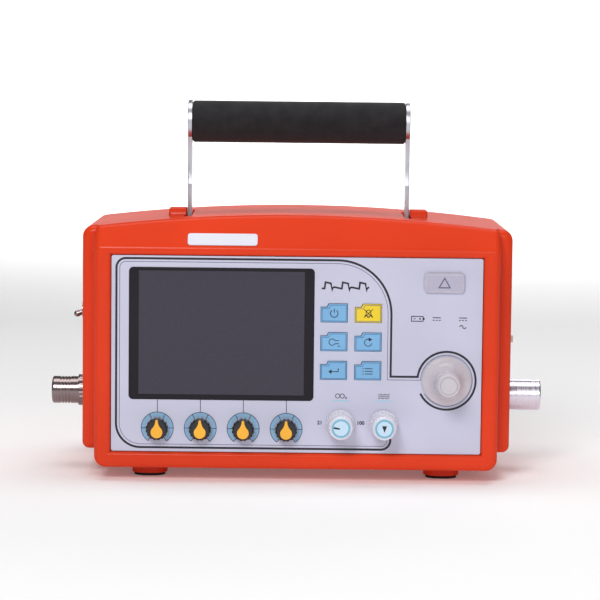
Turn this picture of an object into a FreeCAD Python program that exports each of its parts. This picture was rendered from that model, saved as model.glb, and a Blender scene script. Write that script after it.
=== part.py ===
"""Portable mechanical ventilator, modelled as an assembly of separate pieces.

Frame: +X to the right of a person facing the panel, +Y to the back, +Z up.  The origin is on
the surface that the machine stands on, below the middle of the whole machine.  Millimetres.
"""
import FreeCAD
import Part
import Sketcher
import math
import os
from types import SimpleNamespace

# Driving dimensions.  Each becomes a cell of the spreadsheet, with the name as its alias.
SIZES = {
    # case
    "ear_half": 151.0,          # half width over the side walls
    "base_half": 141.0,         # half width of the front frame and the base
    "case_depth": 150.0,
    "bezel_depth": 20.0,        # front frame, front to back
    "joint_gap": 0.4,           # shadow line behind the front frame
    "crown": 186.0,             # highest line of the arched top
    "arch_radius": 1170.0,
    "ear_bottom": 19.0,
    "base_bottom": 9.0,         # underside of the base, on top of the feet
    "wall": 3.0,
    "rear_thick": 4.0,
    "rear_reach": 156.0,        # rearmost fitting, behind the front face
    "brow_low": 163.6,          # the brow leans back above this height
    "brow_lean": 18.0,          # how far the brow has leaned back at the crown
    # front panel
    "recess_half": 129.5,
    "recess_low": 20.3,
    "recess_high": 158.4,
    "panel_face": 2.5,          # depth of the panel's face behind the front frame
    "panel_thick": 3.0,
    "panel_gap": 0.5,
    # display
    "window_x": -52.4,
    "window_z": 103.55,
    "window_wide": 128.8,
    "window_high": 92.5,
    "module_wide": 126.0,
    "module_high": 100.0,
    "module_deep": 9.0,
    # membrane keys
    "key_wide": 18.2,
    "key_high": 12.6,
    "key_left_x": 25.9,
    "key_right_x": 49.7,
    "key_top_z": 119.2,
    "key_pitch": 20.1,
    "key_step": 2.4,            # height of the tab on the key's upper edge
    "key_tab": 5.5,             # width of the lower part of that edge
    "key_face": 1.3,            # depth of the key's face behind the front frame
    "key_stroke": 0.5,
    # setting dials
    "dial_x": -96.7,
    "dial_pitch": 30.0,
    "dial_z": 37.2,
    "dial_radius": 7.7,
    "dial_length": 9.0,
    "pot_side": 17.0,
    # oxygen and flow knobs
    "oxygen_x": 31.2,
    "flow_x": 61.2,
    "tall_z": 41.5,
    "tall_base": 10.0,
    "tall_rim": 8.0,
    "tall_length": 23.0,
    "cap_radius": 6.9,
    "valve_radius": 12.0,
    "valve_length": 34.0,
    # encoder
    "encoder_x": 104.7,
    "encoder_z": 72.5,
    "encoder_base": 17.0,
    "encoder_waist": 9.0,
    "encoder_rim": 7.8,
    "encoder_length": 30.0,
    "encoder_side": 26.0,
    # alarm lamp and name plate
    "lamp_x": 102.2,
    "lamp_z": 140.9,
    "lamp_wide": 28.6,
    "lamp_high": 14.4,
    "plate_x": -52.1,
    "plate_z": 169.2,
    "plate_wide": 48.4,
    "plate_high": 9.8,
    # handle
    "pivot_z": 181.0,
    "grip_z": 249.5,
    "grip_radius": 15.0,
    "grip_half": 76.4,
    "arm_in": 76.6,
    "arm_thick": 3.0,
    "arm_end": 8.0,             # radius of the arm's lower end
    "arm_disc": 15.25,          # radius of the arm's upper end
    "pin_radius": 3.0,
    "slot_half": 38.0,
    "boss_out": 93.0,
    "boss_radius": 6.5,
    # ports
    "port_z": 54.5,
    "port_depth": 70.0,
    "outlet_radius": 11.0,
    "outlet_bore": 7.5,
    "outlet_end": 176.5,
    "inlet_radius": 9.8,
    "inlet_bore": 5.0,
    "inlet_end": 176.5,
    "nozzle_z": 95.0,
    "switch_x": 149.0,
    "switch_z": 113.0,
    # feet
    "foot_x": 103.5,
    "foot_wide": 25.0,
    "foot_deep": 22.0,
    "pad_thick": 2.0,
    "bolt_spacing": 80.0,       # square pattern under the base
    "bolt_hole": 2.2,
    # small fits
    "running": 0.05,            # radial clearance of shafts that turn
    "lid_gap": 0.35,            # clearance round keys and lids
    "shaft_radius": 3.0,
}

doc = FreeCAD.newDocument("Ventilator")


class Size:
    """A number together with the spreadsheet expression that it comes from."""

    def __init__(self, value, text):
        self.value = float(value)
        self.text = text

    def combine(self, sign, other, swapped=False):
        first, second = (size_of(other), self) if swapped else (self, size_of(other))
        results = {
            "+": first.value + second.value,
            "-": first.value - second.value,
            "*": first.value * second.value,
        }
        value = first.value / second.value if sign == "/" else results[sign]
        return Size(value, f"({first.text} {sign} {second.text})")

    def __add__(self, other):
        return self.combine("+", other)

    def __radd__(self, other):
        return self.combine("+", other, swapped=True)

    def __sub__(self, other):
        return self.combine("-", other)

    def __rsub__(self, other):
        return self.combine("-", other, swapped=True)

    def __mul__(self, other):
        return self.combine("*", other)

    def __rmul__(self, other):
        return self.combine("*", other, swapped=True)

    def __truediv__(self, other):
        return self.combine("/", other)

    def __neg__(self):
        return self.combine("*", -1)


def size_of(number):
    """The same value as a Size; a plain number is written into the expression as it is."""
    if isinstance(number, Size):
        return number
    text = f"{number:.6f}"
    return Size(number, f"({text})" if number < 0 else text)


def write_sheet():
    """Fill the spreadsheet, and give the driving dimensions as attributes."""
    sheet = doc.addObject("Spreadsheet::Sheet", "Dimensions")
    cells = SimpleNamespace()
    for row, (name, value) in enumerate(SIZES.items(), start=1):
        sheet.set(f"A{row}", name)
        sheet.set(f"B{row}", str(value))
        sheet.setAlias(f"B{row}", name)
        setattr(cells, name, Size(value, "Dimensions." + name))
    doc.recompute()
    return cells


s = write_sheet()
FRONT = (s.encoder_length - s.panel_face - s.rear_reach) / 2
MID = FRONT + s.case_depth / 2          # the handle's pivots are half way back
PORT_Y = FRONT + s.port_depth
FACE = FRONT + s.panel_face             # the panel's printed face
BACK = FACE + s.panel_thick             # the panel's rear face
REAR = FRONT + s.case_depth             # outside of the rear panel
ARCH_Z = s.crown - s.arch_radius

TURNS = {
    "z": FreeCAD.Rotation(),
    "x": FreeCAD.Rotation(FreeCAD.Vector(0, 1, 0), 90),
    "-x": FreeCAD.Rotation(FreeCAD.Vector(0, 1, 0), -90),
    "y": FreeCAD.Rotation(FreeCAD.Vector(1, 0, 0), -90),
    "-y": FreeCAD.Rotation(FreeCAD.Vector(1, 0, 0), 90),
}
counter = iter(range(1, 100000))
nodes = []


def drive(thing, prop, size):
    """Bind one property of a document object to the spreadsheet."""
    thing.setExpression(prop, size_of(size).text)


def place(thing, at, axis="z"):
    """Put an object at a point, with its own Z along the named direction."""
    at = [size_of(c) for c in at]
    thing.Placement = FreeCAD.Placement(FreeCAD.Vector(*[c.value for c in at]), TURNS[axis])
    for letter, c in zip("xyz", at):
        drive(thing, "Placement.Base." + letter, c)
    return thing


def add(kind, name):
    return doc.addObject(kind, f"{name}_{next(counter)}")


def block(x, y, z, name="block"):
    """A box from three pairs of limits."""
    thing = add("Part::Box", name)
    for prop, (low, high) in zip(("Length", "Width", "Height"), (x, y, z)):
        drive(thing, prop, size_of(high) - low)
    return place(thing, [x[0], y[0], z[0]])


def rod(axis, at, radius, length, name="rod"):
    """A cylinder that starts at a point and runs along the named direction."""
    thing = add("Part::Cylinder", name)
    drive(thing, "Radius", radius)
    drive(thing, "Height", length)
    return place(thing, at, axis)


def cone(axis, at, first, last, length, name="cone"):
    thing = add("Part::Cone", name)
    drive(thing, "Radius1", first)
    drive(thing, "Radius2", last)
    drive(thing, "Height", length)
    return place(thing, at, axis)


def fuse(*pieces, name="fuse"):
    thing = add("Part::MultiFuse", name)
    thing.Shapes = list(pieces)
    thing.Refine = True
    return thing


def cut(base, *tools, name="cut"):
    thing = add("Part::Cut", name)
    thing.Base = base
    thing.Tool = tools[0] if len(tools) == 1 else group(*tools)
    thing.Refine = True
    return thing


def common(*pieces, name="common"):
    thing = add("Part::MultiCommon", name)
    thing.Shapes = list(pieces)
    thing.Refine = True
    return thing


def group(*pieces, name="group"):
    thing = add("Part::Compound", name)
    thing.Links = list(pieces)
    return thing


def rounded(base, radius, chosen, name="rounded"):
    """Fillet the edges whose middle and direction pass the test."""
    doc.recompute()
    picked = []
    for number, edge in enumerate(base.Shape.Edges, start=1):
        middle = edge.valueAt((edge.FirstParameter + edge.LastParameter) / 2)
        along = edge.tangentAt((edge.FirstParameter + edge.LastParameter) / 2)
        if chosen(middle, along, edge):
            picked.append((number, size_of(radius).value, size_of(radius).value))
    if not picked:
        raise RuntimeError(f"no edge to round on {base.Name}")
    thing = add("Part::Fillet", name)
    thing.Base = base
    thing.Edges = picked
    doc.recompute()
    if thing.Shape.isNull() or not thing.Shape.isValid():
        raise RuntimeError(f"the fillet on {base.Name} failed")
    return thing


def along_axis(letter):
    """Test for straight edges that run along one axis."""
    def test(middle, along, edge):
        return abs(getattr(along, letter)) > 0.99
    return test


def node(label, piece):
    """Name a finished sub-part; its label is the name of its file."""
    piece.Label = label
    nodes.append(piece)
    return piece


def outline_sketch(body, plane, points):
    """A closed outline on one of the body's own planes, each corner held by two sizes.

    A point is (across, up) or (across, up, radius); with a radius the edge that arrives there
    is an arc, which bulges to the right of its direction where the radius is positive.
    """
    sketch = body.newObject("Sketcher::SketchObject", f"Outline_{next(counter)}")
    origin = [f for f in body.Origin.OriginFeatures if f.Role == plane][0]
    sketch.AttachmentSupport = [(origin, "")]
    sketch.MapMode = "FlatFace"
    corners = [(size_of(p[0]), size_of(p[1])) for p in points]
    count = len(points)
    ends = []
    for i in range(count):
        start = FreeCAD.Vector(corners[i][0].value, corners[i][1].value, 0)
        end_at = (i + 1) % count
        end = FreeCAD.Vector(corners[end_at][0].value, corners[end_at][1].value, 0)
        if len(points[end_at]) == 3:
            ends.append(add_arc(sketch, i, start, end, size_of(points[end_at][2])))
        else:
            sketch.addGeometry(Part.LineSegment(start, end), False)
            ends.append((1, 2))
    for i in range(count):
        finish = ends[i][1]
        sketch.addConstraint(constraint("Coincident", i, finish, (i + 1) % count,
                                        ends[(i + 1) % count][0]))
        hold_corner(sketch, i, ends[i][0], corners[i])
    return sketch


def constraint(*parts):
    return Sketcher.Constraint(*parts)


def hold_corner(sketch, edge, end, corner):
    """Fix one corner: on an axis where the size is zero, else at a distance from the origin."""
    for kind, axis, size in (("DistanceX", -2, corner[0]), ("DistanceY", -1, corner[1])):
        if abs(size.value) < 1e-9:
            sketch.addConstraint(constraint("PointOnObject", edge, end, axis))
            continue
        number = sketch.addConstraint(constraint(kind, -1, 1, edge, end, size.value))
        sketch.setExpression(f"Constraints[{number}]", size.text)


def add_arc(sketch, edge, start, end, radius):
    """Add an arc between two corners, and say which of its ends comes first."""
    chord = end - start
    side = FreeCAD.Vector(chord.y, -chord.x, 0).normalize()
    bulge = 1 if radius.value > 0 else -1
    reach = math.sqrt(radius.value ** 2 - (chord.Length / 2) ** 2)
    centre = (start + end) / 2 - side * reach * bulge
    angles = [math.atan2(p.y - centre.y, p.x - centre.x) for p in (start, end)]
    forward = bulge > 0
    first, last = angles if forward else reversed(angles)
    circle = Part.Circle(centre, FreeCAD.Vector(0, 0, 1), abs(radius.value))
    sketch.addGeometry(Part.ArcOfCircle(circle, first, last), False)
    number = sketch.addConstraint(constraint("Radius", edge, abs(radius.value)))
    sketch.setExpression(f"Constraints[{number}]", (radius * bulge).text)
    return (1, 2) if forward else (2, 1)


def turned(points, at, axis, name="turned"):
    """A lathe-turned piece: its outline is (radius, height), and its own Z lies along axis."""
    body = add("PartDesign::Body", name)
    sketch = outline_sketch(body, "XZ_Plane", points)
    spin = body.newObject("PartDesign::Revolution", f"Spin_{next(counter)}")
    spin.Profile = sketch
    spin.ReferenceAxis = (sketch, ["V_Axis"])
    spin.Angle = 360
    body.Tip = spin
    return place(body, at, axis)


def plate(points, thick, at, axis, name="plate"):
    """A flat piece: its outline lies across the named direction, and it is thick along it."""
    body = add("PartDesign::Body", name)
    sketch = outline_sketch(body, "XY_Plane", points)
    pad = body.newObject("PartDesign::Pad", f"Pad_{next(counter)}")
    pad.Profile = sketch
    drive(pad, "Length", thick)
    body.Tip = pad
    return place(body, at, axis)


# ---------------------------------------------------------------- case
CORNER = 8.0            # radius of the case's upper and lower corners
EAR_CORNER = 5.0
OVER = 1.0              # how far cutting tools stand past the piece
BEHIND_BEZEL = FRONT + s.bezel_depth + s.joint_gap
PANEL_FRONT = REAR - s.rear_thick       # inside of the rear panel


def arch(drop=0):
    """The large cylinder that gives the top its crown."""
    return rod("y", (0, FRONT - OVER, ARCH_Z), s.arch_radius - drop, s.case_depth + 2 * OVER)


def mirrored_x(test):
    """Apply a test to both sides of the machine."""
    def both(middle, along, edge):
        return test(abs(middle.x), middle.y, middle.z, along)
    return both


def case_form(depth, low, drop=0):
    """A slice of the case's outer form, its long corners rounded; drop shrinks it inwards."""
    half = s.ear_half - drop
    form = common(block((-half, half), depth, (size_of(low) + drop, s.crown + OVER)), arch(drop))
    form = rounded(form, CORNER - drop_of(drop), mirrored_x(
        lambda x, y, z, along: abs(along.y) > 0.99 and x > half.value - 1 and z > 150))
    return rounded(form, max(EAR_CORNER - drop_of(drop), 1.5), mirrored_x(
        lambda x, y, z, along: abs(along.y) > 0.99 and x > half.value - 1 and z < 50))


def drop_of(drop):
    return size_of(drop).value


def round_low(piece):
    """Round the two lower corners of the front frame, the base or the rear panel."""
    return rounded(piece, CORNER, mirrored_x(
        lambda x, y, z, along: abs(along.y) > 0.99 and z < s.base_bottom.value + 1))


def brow_tool():
    """The wedge that leans the brow back."""
    rise = s.crown - s.brow_low
    spare = 8.0
    back = s.brow_lean * (rise.value + spare) / rise.value
    points = [
        (s.brow_low, FRONT),
        (s.brow_low, FRONT - 5),
        (s.crown + spare, FRONT - 5),
        (s.crown + spare, FRONT + back),
    ]
    return plate(points, 2 * s.ear_half + 10, (s.ear_half + 5, 0, 0), "-x")


def brow_turn():
    """Turn that lays a flat piece on the leaning brow."""
    lean = math.degrees(math.atan2(SIZES["brow_lean"], SIZES["crown"] - SIZES["brow_low"]))
    return FreeCAD.Rotation(FreeCAD.Vector(1, 0, 0), 90 - lean)


def brow_depth(height):
    """Distance of the brow's face behind the front, at a height."""
    return s.brow_lean * (height - s.brow_low) / (s.crown - s.brow_low)


def front_bezel():
    depth = (FRONT, FRONT + s.bezel_depth)
    shell = round_low(block((-s.base_half, s.base_half), depth, (s.base_bottom, s.crown + OVER)))
    shell = common(shell, arch())
    shell = rounded(shell, 4.0, mirrored_x(
        lambda x, y, z, along: abs(along.y) > 0.99 and z > s.brow_low.value))
    shell = cut(shell, brow_tool())
    shell = rounded(shell, 5.0, lambda m, along, e: abs(along.x) > 0.99
                    and abs(m.z - s.brow_low.value) < 0.5 and m.y < FRONT.value + 1)
    shell = rounded(shell, 4.5, lambda m, along, e: m.y < FRONT.value + 10 and abs(along.y) < 0.9
                    and (abs(m.x) > s.base_half.value - 3.5 or m.z < s.base_bottom.value + 3.5)
                    and m.z < s.crown.value - 10)
    opening = block((-s.recess_half, s.recess_half), (FRONT - OVER, BACK),
                    (s.recess_low, s.recess_high))
    ledge = 4.0
    through = block((ledge - s.recess_half, s.recess_half - ledge),
                    (BACK - OVER, FRONT + s.bezel_depth + OVER),
                    (s.recess_low + ledge, s.recess_high - ledge))
    hollow = block((-134, 134), (FRONT + 13.5, FRONT + s.bezel_depth + OVER),
                   (s.recess_high + s.wall, s.brow_low + 10))
    shell = cut(shell, opening, through, hollow)
    shell = rounded(shell, 2.8, lambda m, along, e: abs(m.y - FRONT.value) < 0.01
                    and abs(m.x) < s.recess_half.value + 1
                    and s.recess_low.value - 1 < m.z < s.recess_high.value + 1)
    return cut(shell, name_pocket())


def name_pocket():
    """Shallow seat for the name plate, square to the brow."""
    seat = 0.7
    pocket = rounded_slab(s.plate_wide + 0.4, s.plate_high + 0.4, 3.0, 2.2)
    return on_brow(pocket, -seat)


def on_brow(piece, lift):
    """Lay a slab on the brow at the name plate's place, lifted off the surface."""
    deep = brow_depth(s.plate_z)
    turn = brow_turn()
    out = turn.multVec(FreeCAD.Vector(0, 0, 1))
    at = (s.plate_x, FRONT + deep + out.y * lift, s.plate_z + out.z * lift)
    place(piece, at)
    base = piece.Placement.Base
    piece.Placement = FreeCAD.Placement(base, turn)
    return piece


def rounded_slab(wide, high, thick, radius):
    """A plate with round corners, centred on its own origin, thick along its own +Z."""
    w = size_of(wide) / 2
    h = size_of(high) / 2
    r = size_of(radius)
    points = [
        (-w, h - r), (-w, r - h), (r - w, -h, radius), (w - r, -h), (w, r - h, radius),
        (w, h - r), (w - r, h, radius), (r - w, h), (-w, h - r, radius),
    ]
    return plate(points[1:], thick, (0, 0, 0), "z")


def slab_at(x, z, wide, high, radius, front, back):
    """A round-cornered slab that faces forward, between two depths."""
    slab = rounded_slab(wide, high, size_of(back) - front, radius)
    return place(slab, (x, back, z), "-y")


def name_plate():
    return on_brow(rounded_slab(s.plate_wide, s.plate_high, 1.2, 2.0), -0.65)


def side_rod(side, depth_y, height, radius, start, length):
    """A cylinder that points out of the left (-1) or right (1) side."""
    axis = "x" if side > 0 else "-x"
    return rod(axis, (size_of(start) * side, depth_y, height), radius, length)


def upper_cover():
    depth = (BEHIND_BEZEL, PANEL_FRONT)
    form = case_form(depth, s.ear_bottom)
    height = (0, s.crown + OVER)
    sides = [common(form, block(sided(side, s.base_half, s.ear_half + OVER), depth, height))
             for side in (-1, 1)]
    sides = [rounded(side, EAR_CORNER, lambda m, along, e: m.y < BEHIND_BEZEL.value + 0.01
                     and abs(m.x) > s.base_half.value + 0.1) for side in sides]
    middle = common(form, block((-s.base_half, s.base_half), depth, height))
    cavity = case_form((BEHIND_BEZEL + s.wall, REAR), s.ear_bottom, s.wall)
    throat = s.base_half + 0.3
    front_door = block((-throat, throat), (FRONT + s.bezel_depth, BEHIND_BEZEL + s.wall + OVER),
                       (s.ear_bottom - OVER, s.recess_high + 15))
    floor_door = block((-throat, throat), (FRONT + s.bezel_depth, REAR),
                       (s.ear_bottom - OVER, s.ear_bottom + s.wall + OVER))
    tools = [cavity, front_door, floor_door]
    reach = s.wall + 4
    start = s.ear_half - s.wall - 2
    tools.append(side_rod(1, PORT_Y, s.port_z, 10.4, start, reach))
    tools.append(side_rod(-1, PORT_Y, s.port_z, 10.4, start, reach))
    tools.append(side_rod(1, PORT_Y, s.nozzle_z, 4.2, start, reach))
    tools.append(side_rod(-1, PORT_Y, s.switch_z, 5.7, start, reach))
    for side in (-1, 1):
        slot = (s.arm_in - 1.0, s.arm_in + s.arm_thick + 1.0)
        tools.append(block(sided(side, *slot), around(MID, s.slot_half),
                           (s.pivot_z - 8, s.crown + OVER)))
        tools.append(block(sided(side, slot[1] - 0.2, s.boss_out + 0.4),
                           around(MID, s.boss_radius + 2.4), (s.pivot_z - 8, s.crown + OVER)))
    tools.append(group(*[side_groove(side, y) for side in (-1, 1) for y in vent_rows()]))
    return cut(fuse(middle, *sides), *tools)


def sided(side, low, high):
    """A pair of limits on the chosen side of the machine, lower limit first."""
    return (low, high) if side > 0 else (-size_of(high), -size_of(low))


def around(middle, half):
    return (middle - half, middle + half)


def vent_rows():
    """Depths of the cooling slots in the side walls."""
    first = FRONT + 105
    return [first + 7 * i for i in range(5)]


def side_groove(side, depth_y):
    """One upright cooling slot through a side wall."""
    return block(sided(side, s.ear_half - s.wall - OVER, s.ear_half + OVER),
                 (depth_y, depth_y + 2.5), (100, 150))


def base_tray():
    depth = (BEHIND_BEZEL, PANEL_FRONT)
    tray = block((-s.base_half, s.base_half), depth, (s.base_bottom, 40))
    tray = round_low(tray)
    inner = s.base_half - s.wall
    hollow = block((-inner, inner), (BEHIND_BEZEL - OVER, REAR), (s.base_bottom + s.wall, 41))
    hollow = rounded(hollow, CORNER - s.wall.value, mirrored_x(
        lambda x, y, z, along: abs(along.y) > 0.99 and z < s.base_bottom.value + 4))
    middle = MID + 2.5
    half = s.bolt_spacing / 2
    holes = [rod("z", (x, y, s.base_bottom - OVER), s.bolt_hole, 2 * s.wall)
             for x in (-half, half) for y in (middle - half, middle + half)]
    return cut(tray, hollow, *holes)


SCREW_SPOTS = [(-140, 170), (140, 170), (-144, 90), (144, 90), (-128, 20), (128, 20)]
DOOR = {"x": 20.0, "z": 52.0, "wide": 110.0, "high": 62.0}
SOCKET = {"x": -105.0, "z": 45.0}
FILTER = {"x": 108.0, "z": 60.0, "radius": 17.0}
SPEAKER = {"x": -85.0, "z": 125.0, "radius": 19.0}


def rear_panel():
    depth = (PANEL_FRONT, REAR)
    narrow = block((-s.base_half, s.base_half), depth, (s.base_bottom, s.ear_bottom + 10))
    panel = fuse(case_form(depth, s.ear_bottom), round_low(narrow))
    panel = rounded(panel, 1.5, lambda m, along, e: m.y > REAR.value - 0.01)
    clear = s.lid_gap
    door = block((DOOR["x"] - DOOR["wide"] / 2 - clear, DOOR["x"] + DOOR["wide"] / 2 + clear),
                 (PANEL_FRONT - OVER, REAR + OVER),
                 (DOOR["z"] - DOOR["high"] / 2 - clear, DOOR["z"] + DOOR["high"] / 2 + clear))
    tools = [door]
    tools.append(rear_rod(SOCKET, 11.3))
    tools.append(rear_rod(FILTER, FILTER["radius"] - 3.0))
    tools += [rear_rod({"x": x, "z": z}, 2.1) for x, z in SCREW_SPOTS]
    tools += [rear_rod({"x": SPEAKER["x"] + x, "z": SPEAKER["z"] + z}, 1.5)
              for x, z in ring_spots()]
    return cut(panel, *tools)


def rear_rod(spot, radius):
    """A hole tool through the rear panel."""
    return rod("y", (spot["x"], PANEL_FRONT - OVER, spot["z"]), radius, s.rear_thick + 2 * OVER)


def ring_spots():
    """Grille holes: one in the middle and two rings round it."""
    spots = [(0.0, 0.0)]
    for ring, count in ((6.0, 6), (12.0, 12)):
        for i in range(count):
            angle = 2 * math.pi * i / count
            spots.append((ring * math.cos(angle), ring * math.sin(angle)))
    return spots


def battery_door():
    door = slab_at(DOOR["x"], DOOR["z"], DOOR["wide"], DOOR["high"], 0.8, PANEL_FRONT, REAR + 0.8)
    grip = block((DOOR["x"] - 15, DOOR["x"] + 15), (REAR - 1.5, REAR + 2),
                 (DOOR["z"] + DOOR["high"] / 2 - 10, DOOR["z"] + DOOR["high"] / 2 - 5))
    return cut(door, grip)


def feet():
    """Four moulded feet, round at both ends."""
    high = s.base_bottom - s.pad_thick
    return [foot(x, y, s.pad_thick, high, s.foot_wide, s.foot_deep)
            for x in (-s.foot_x, s.foot_x) for y in (MID - 42, MID + 50)]


def foot(x, y, low, high, wide, deep):
    piece = rounded_slab(wide, deep, high, size_of(deep) / 2 - 1)
    return place(piece, (x, y, low))


def foot_pads():
    return [foot(x, y, 0, s.pad_thick, s.foot_wide - 3, s.foot_deep - 3)
            for x in (-s.foot_x, s.foot_x) for y in (MID - 42, MID + 50)]


# ---------------------------------------------------------------- front panel
KEYS = [
    ("key_standby", 0, 0), ("key_manual", 0, 1), ("key_return", 0, 2),
    ("key_silence", 1, 0), ("key_reset", 1, 1), ("key_menu", 1, 2),
]
KEY_FLANGE = 1.0        # how far the flange behind the panel stands out round the key
FLANGE_THICK = 1.2


def key_centre(column, row):
    x = (s.key_left_x, s.key_right_x)[column]
    return x, s.key_top_z - s.key_pitch * row


def key_outline(spare=0):
    """Outline of a key: a rectangle whose upper edge steps up to the right of a small tab."""
    w = s.key_wide / 2 + spare
    h = s.key_high / 2 + spare
    step = h - s.key_step
    tab = s.key_tab - w
    return [(-w, -h), (w, -h), (w, h), (tab, h), (tab - 1.2, step), (-w, step)]


def key(column, row):
    """One key: the cap through the panel and the flange that keeps it in."""
    x, z = key_centre(column, row)
    front = FRONT + s.key_face
    cap = place(plate(key_outline(), BACK + 0.6 - front, (0, 0, 0), "z"), (x, BACK + 0.6, z), "-y")
    cap = rounded(cap, 0.5, lambda m, along, e: m.y < front.value + 0.01)
    w = s.key_wide / 2 + KEY_FLANGE
    h = s.key_high / 2 + KEY_FLANGE
    flange = block((x - w, x + w), (BACK + 0.3, BACK + 0.3 + FLANGE_THICK), (z - h, z + h))
    return fuse(cap, flange)


def key_board():
    """Circuit board behind the keys, with a rubber dome under each one."""
    dome_front = BACK + 0.3 + FLANGE_THICK + s.key_stroke + 0.15
    board_front = dome_front + 1.6
    board = block((s.key_left_x - 13, s.key_right_x + 13), (board_front, board_front + 1.6),
                  (s.key_top_z - 2 * s.key_pitch - 10, s.key_top_z + 10))
    domes = []
    for _, column, row in KEYS:
        x, z = key_centre(column, row)
        domes.append(cone("y", (x, dome_front, z), 3.0, 4.5, 1.6))
    return fuse(board, *domes)


def front_plate():
    gap = s.panel_gap
    skin = slab_at(0, (s.recess_low + s.recess_high) / 2, 2 * s.recess_half - 2 * gap,
                   s.recess_high - s.recess_low - 2 * gap, 1.5, FACE, BACK)
    before = FACE - OVER
    reach = s.panel_thick + 2 * OVER
    tools = [slab_at(s.window_x, s.window_z, s.window_wide + 0.3, s.window_high + 0.3, 3.1,
                     before, before + reach)]
    for _, column, row in KEYS:
        x, z = key_centre(column, row)
        tools.append(place(plate(key_outline(s.lid_gap), reach, (0, 0, 0), "z"),
                           (x, before + reach, z), "-y"))
    tools += [rod("y", (dial_x(i), before, s.dial_z), 3.8, reach) for i in range(4)]
    tools += [rod("y", (x, before, s.tall_z), 5.8, reach) for x in (s.oxygen_x, s.flow_x)]
    tools.append(rod("y", (s.encoder_x, before, s.encoder_z), 6.3, reach))
    tools.append(slab_at(s.lamp_x, s.lamp_z, s.lamp_wide - 1.6, s.lamp_high - 1.6, 2.0,
                         before, before + reach))
    return cut(skin, *tools)


def display_window():
    pane = slab_at(s.window_x, s.window_z, s.window_wide, s.window_high, 3.0, FACE - 0.3, BACK - 0.4)
    return rounded(pane, 0.25, lambda m, along, e: m.y < FACE.value - 0.29)


def display_module():
    """The display itself: a framed panel with its driver board on the back."""
    front = BACK + 0.2
    frame = slab_at(s.window_x, s.window_z, s.module_wide, s.module_high, 1.0,
                    front, front + s.module_deep)
    board = block((s.window_x - 50, s.window_x + 50),
                  (front + s.module_deep, front + s.module_deep + 3),
                  (s.window_z - 35, s.window_z + 35))
    return fuse(frame, board)


def alarm_lens():
    """Domed lamp cover with a stem through the panel."""
    dome = slab_at(s.lamp_x, s.lamp_z, s.lamp_wide, s.lamp_high, 3.0, FACE - 2.6, FACE)
    dome = rounded(dome, 1.6, lambda m, along, e: m.y < FACE.value - 2.59)
    stem = slab_at(s.lamp_x, s.lamp_z, s.lamp_wide - 2, s.lamp_high - 2, 1.8, FACE - 1, BACK + 1)
    return fuse(dome, stem)


def dial_x(index):
    return s.dial_x + s.dial_pitch * index


# ---------------------------------------------------------------- setting dials
SHAFT_TIP = 1.2         # the knob's face stands this far in front of the shaft's end
POT_DEEP = 9.0
SHAFT_DEEP = 12.0       # how far a dial's shaft runs behind the panel's face


def dial_knob(index):
    """Knob with a grip waist, and the shaft it is fixed to."""
    r = s.dial_radius
    high = s.dial_length
    points = [
        (0, 3.4), (5.2, 3.4), (5.2, 0.6), (r, 0.6), (r, high - 1.5), (r - 1.2, high), (0, high),
    ]
    knob = turned(points, (dial_x(index), FACE, s.dial_z), "-y")
    flutes = [flute(dial_x(index), s.dial_z, r, 2 * math.pi * i / 16, high) for i in range(16)]
    shaft = rod("y", (dial_x(index), FACE - high + SHAFT_TIP, s.dial_z), s.shaft_radius,
                SHAFT_DEEP + high - SHAFT_TIP)
    return fuse(cut(knob, *flutes), shaft)


def flute(x, z, radius, angle, length):
    """Grip groove along the side of a knob."""
    reach = radius + 0.55
    return rod("-y", (x + reach * math.cos(angle), FACE + OVER, z + reach * math.sin(angle)),
               1.1, size_of(length) + 2 * OVER)


def dial_pointer(index):
    """Drop-shaped cap on the knob's face: a round end and a hollow-sided neck that points."""
    round_end = 4.1
    tip = 8.3
    tip_half = 0.8
    hollow = -9.0                                 # radius of the neck's sides
    shoulder = math.radians(40)                   # where the neck meets the round end
    across = round_end * math.sin(shoulder)
    up = round_end * math.cos(shoulder)
    points = [
        (-across, up, hollow), (0, -round_end, round_end), (across, up, round_end),
        (tip_half, tip, hollow), (-tip_half, tip, tip_half + 0.2),
    ]
    below = 1.8                                   # the round end's centre, below the axis
    front = FACE - s.dial_length
    return place(plate(points, 0.8, (0, 0, 0), "z"), (dial_x(index), front, s.dial_z - below), "-y")


def potentiometer(index):
    """Body of one potentiometer, its bushing through the panel, and its three pins."""
    x = dial_x(index)
    half = s.pot_side / 2
    body = block((x - half, x + half), (BACK + 0.2, BACK + 0.2 + POT_DEEP),
                 (s.dial_z - half, s.dial_z + half))
    bushing = rod("y", (x, FACE - 1.6, s.dial_z), 3.6, s.panel_thick + 3)
    nut = rod("y", (x, FACE - 1.5, s.dial_z), 4.8, 1.5)
    pins = [block((x + shift - 0.5, x + shift + 0.5),
                  (BACK + POT_DEEP - 4, BACK + POT_DEEP - 3.4),
                  (s.dial_z - half - 5, s.dial_z - half + 1)) for shift in (-5, 0, 5)]
    bore = rod("y", (x, FACE - 3, s.dial_z), s.shaft_radius + s.running, SHAFT_DEEP + 3.3)
    return cut(fuse(body, bushing, nut, *pins), bore)


# ---------------------------------------------------------------- oxygen and flow knobs
def tall_knob(x):
    """Tapered knob with a recessed end, and its spindle."""
    base = s.tall_base
    rim = s.tall_rim
    high = s.tall_length
    points = [
        (0, 6.0), (7.2, 6.0), (7.2, 0.6), (base, 0.6), (base, 3.5), (rim + 0.2, high - 1.0),
        (rim - 0.6, high), (s.cap_radius + 0.1, high), (s.cap_radius + 0.1, high - 1.4),
        (0, high - 1.4),
    ]
    knob = turned(points, (x, FACE, s.tall_z), "-y")
    knob = cut(knob, *[tall_flute(x, 2 * math.pi * (i + 0.5) / 20) for i in range(20)])
    spindle = rod("y", (x, FACE - high + 4, s.tall_z), s.shaft_radius, high - 4 + 20)
    return fuse(knob, spindle)


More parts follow.
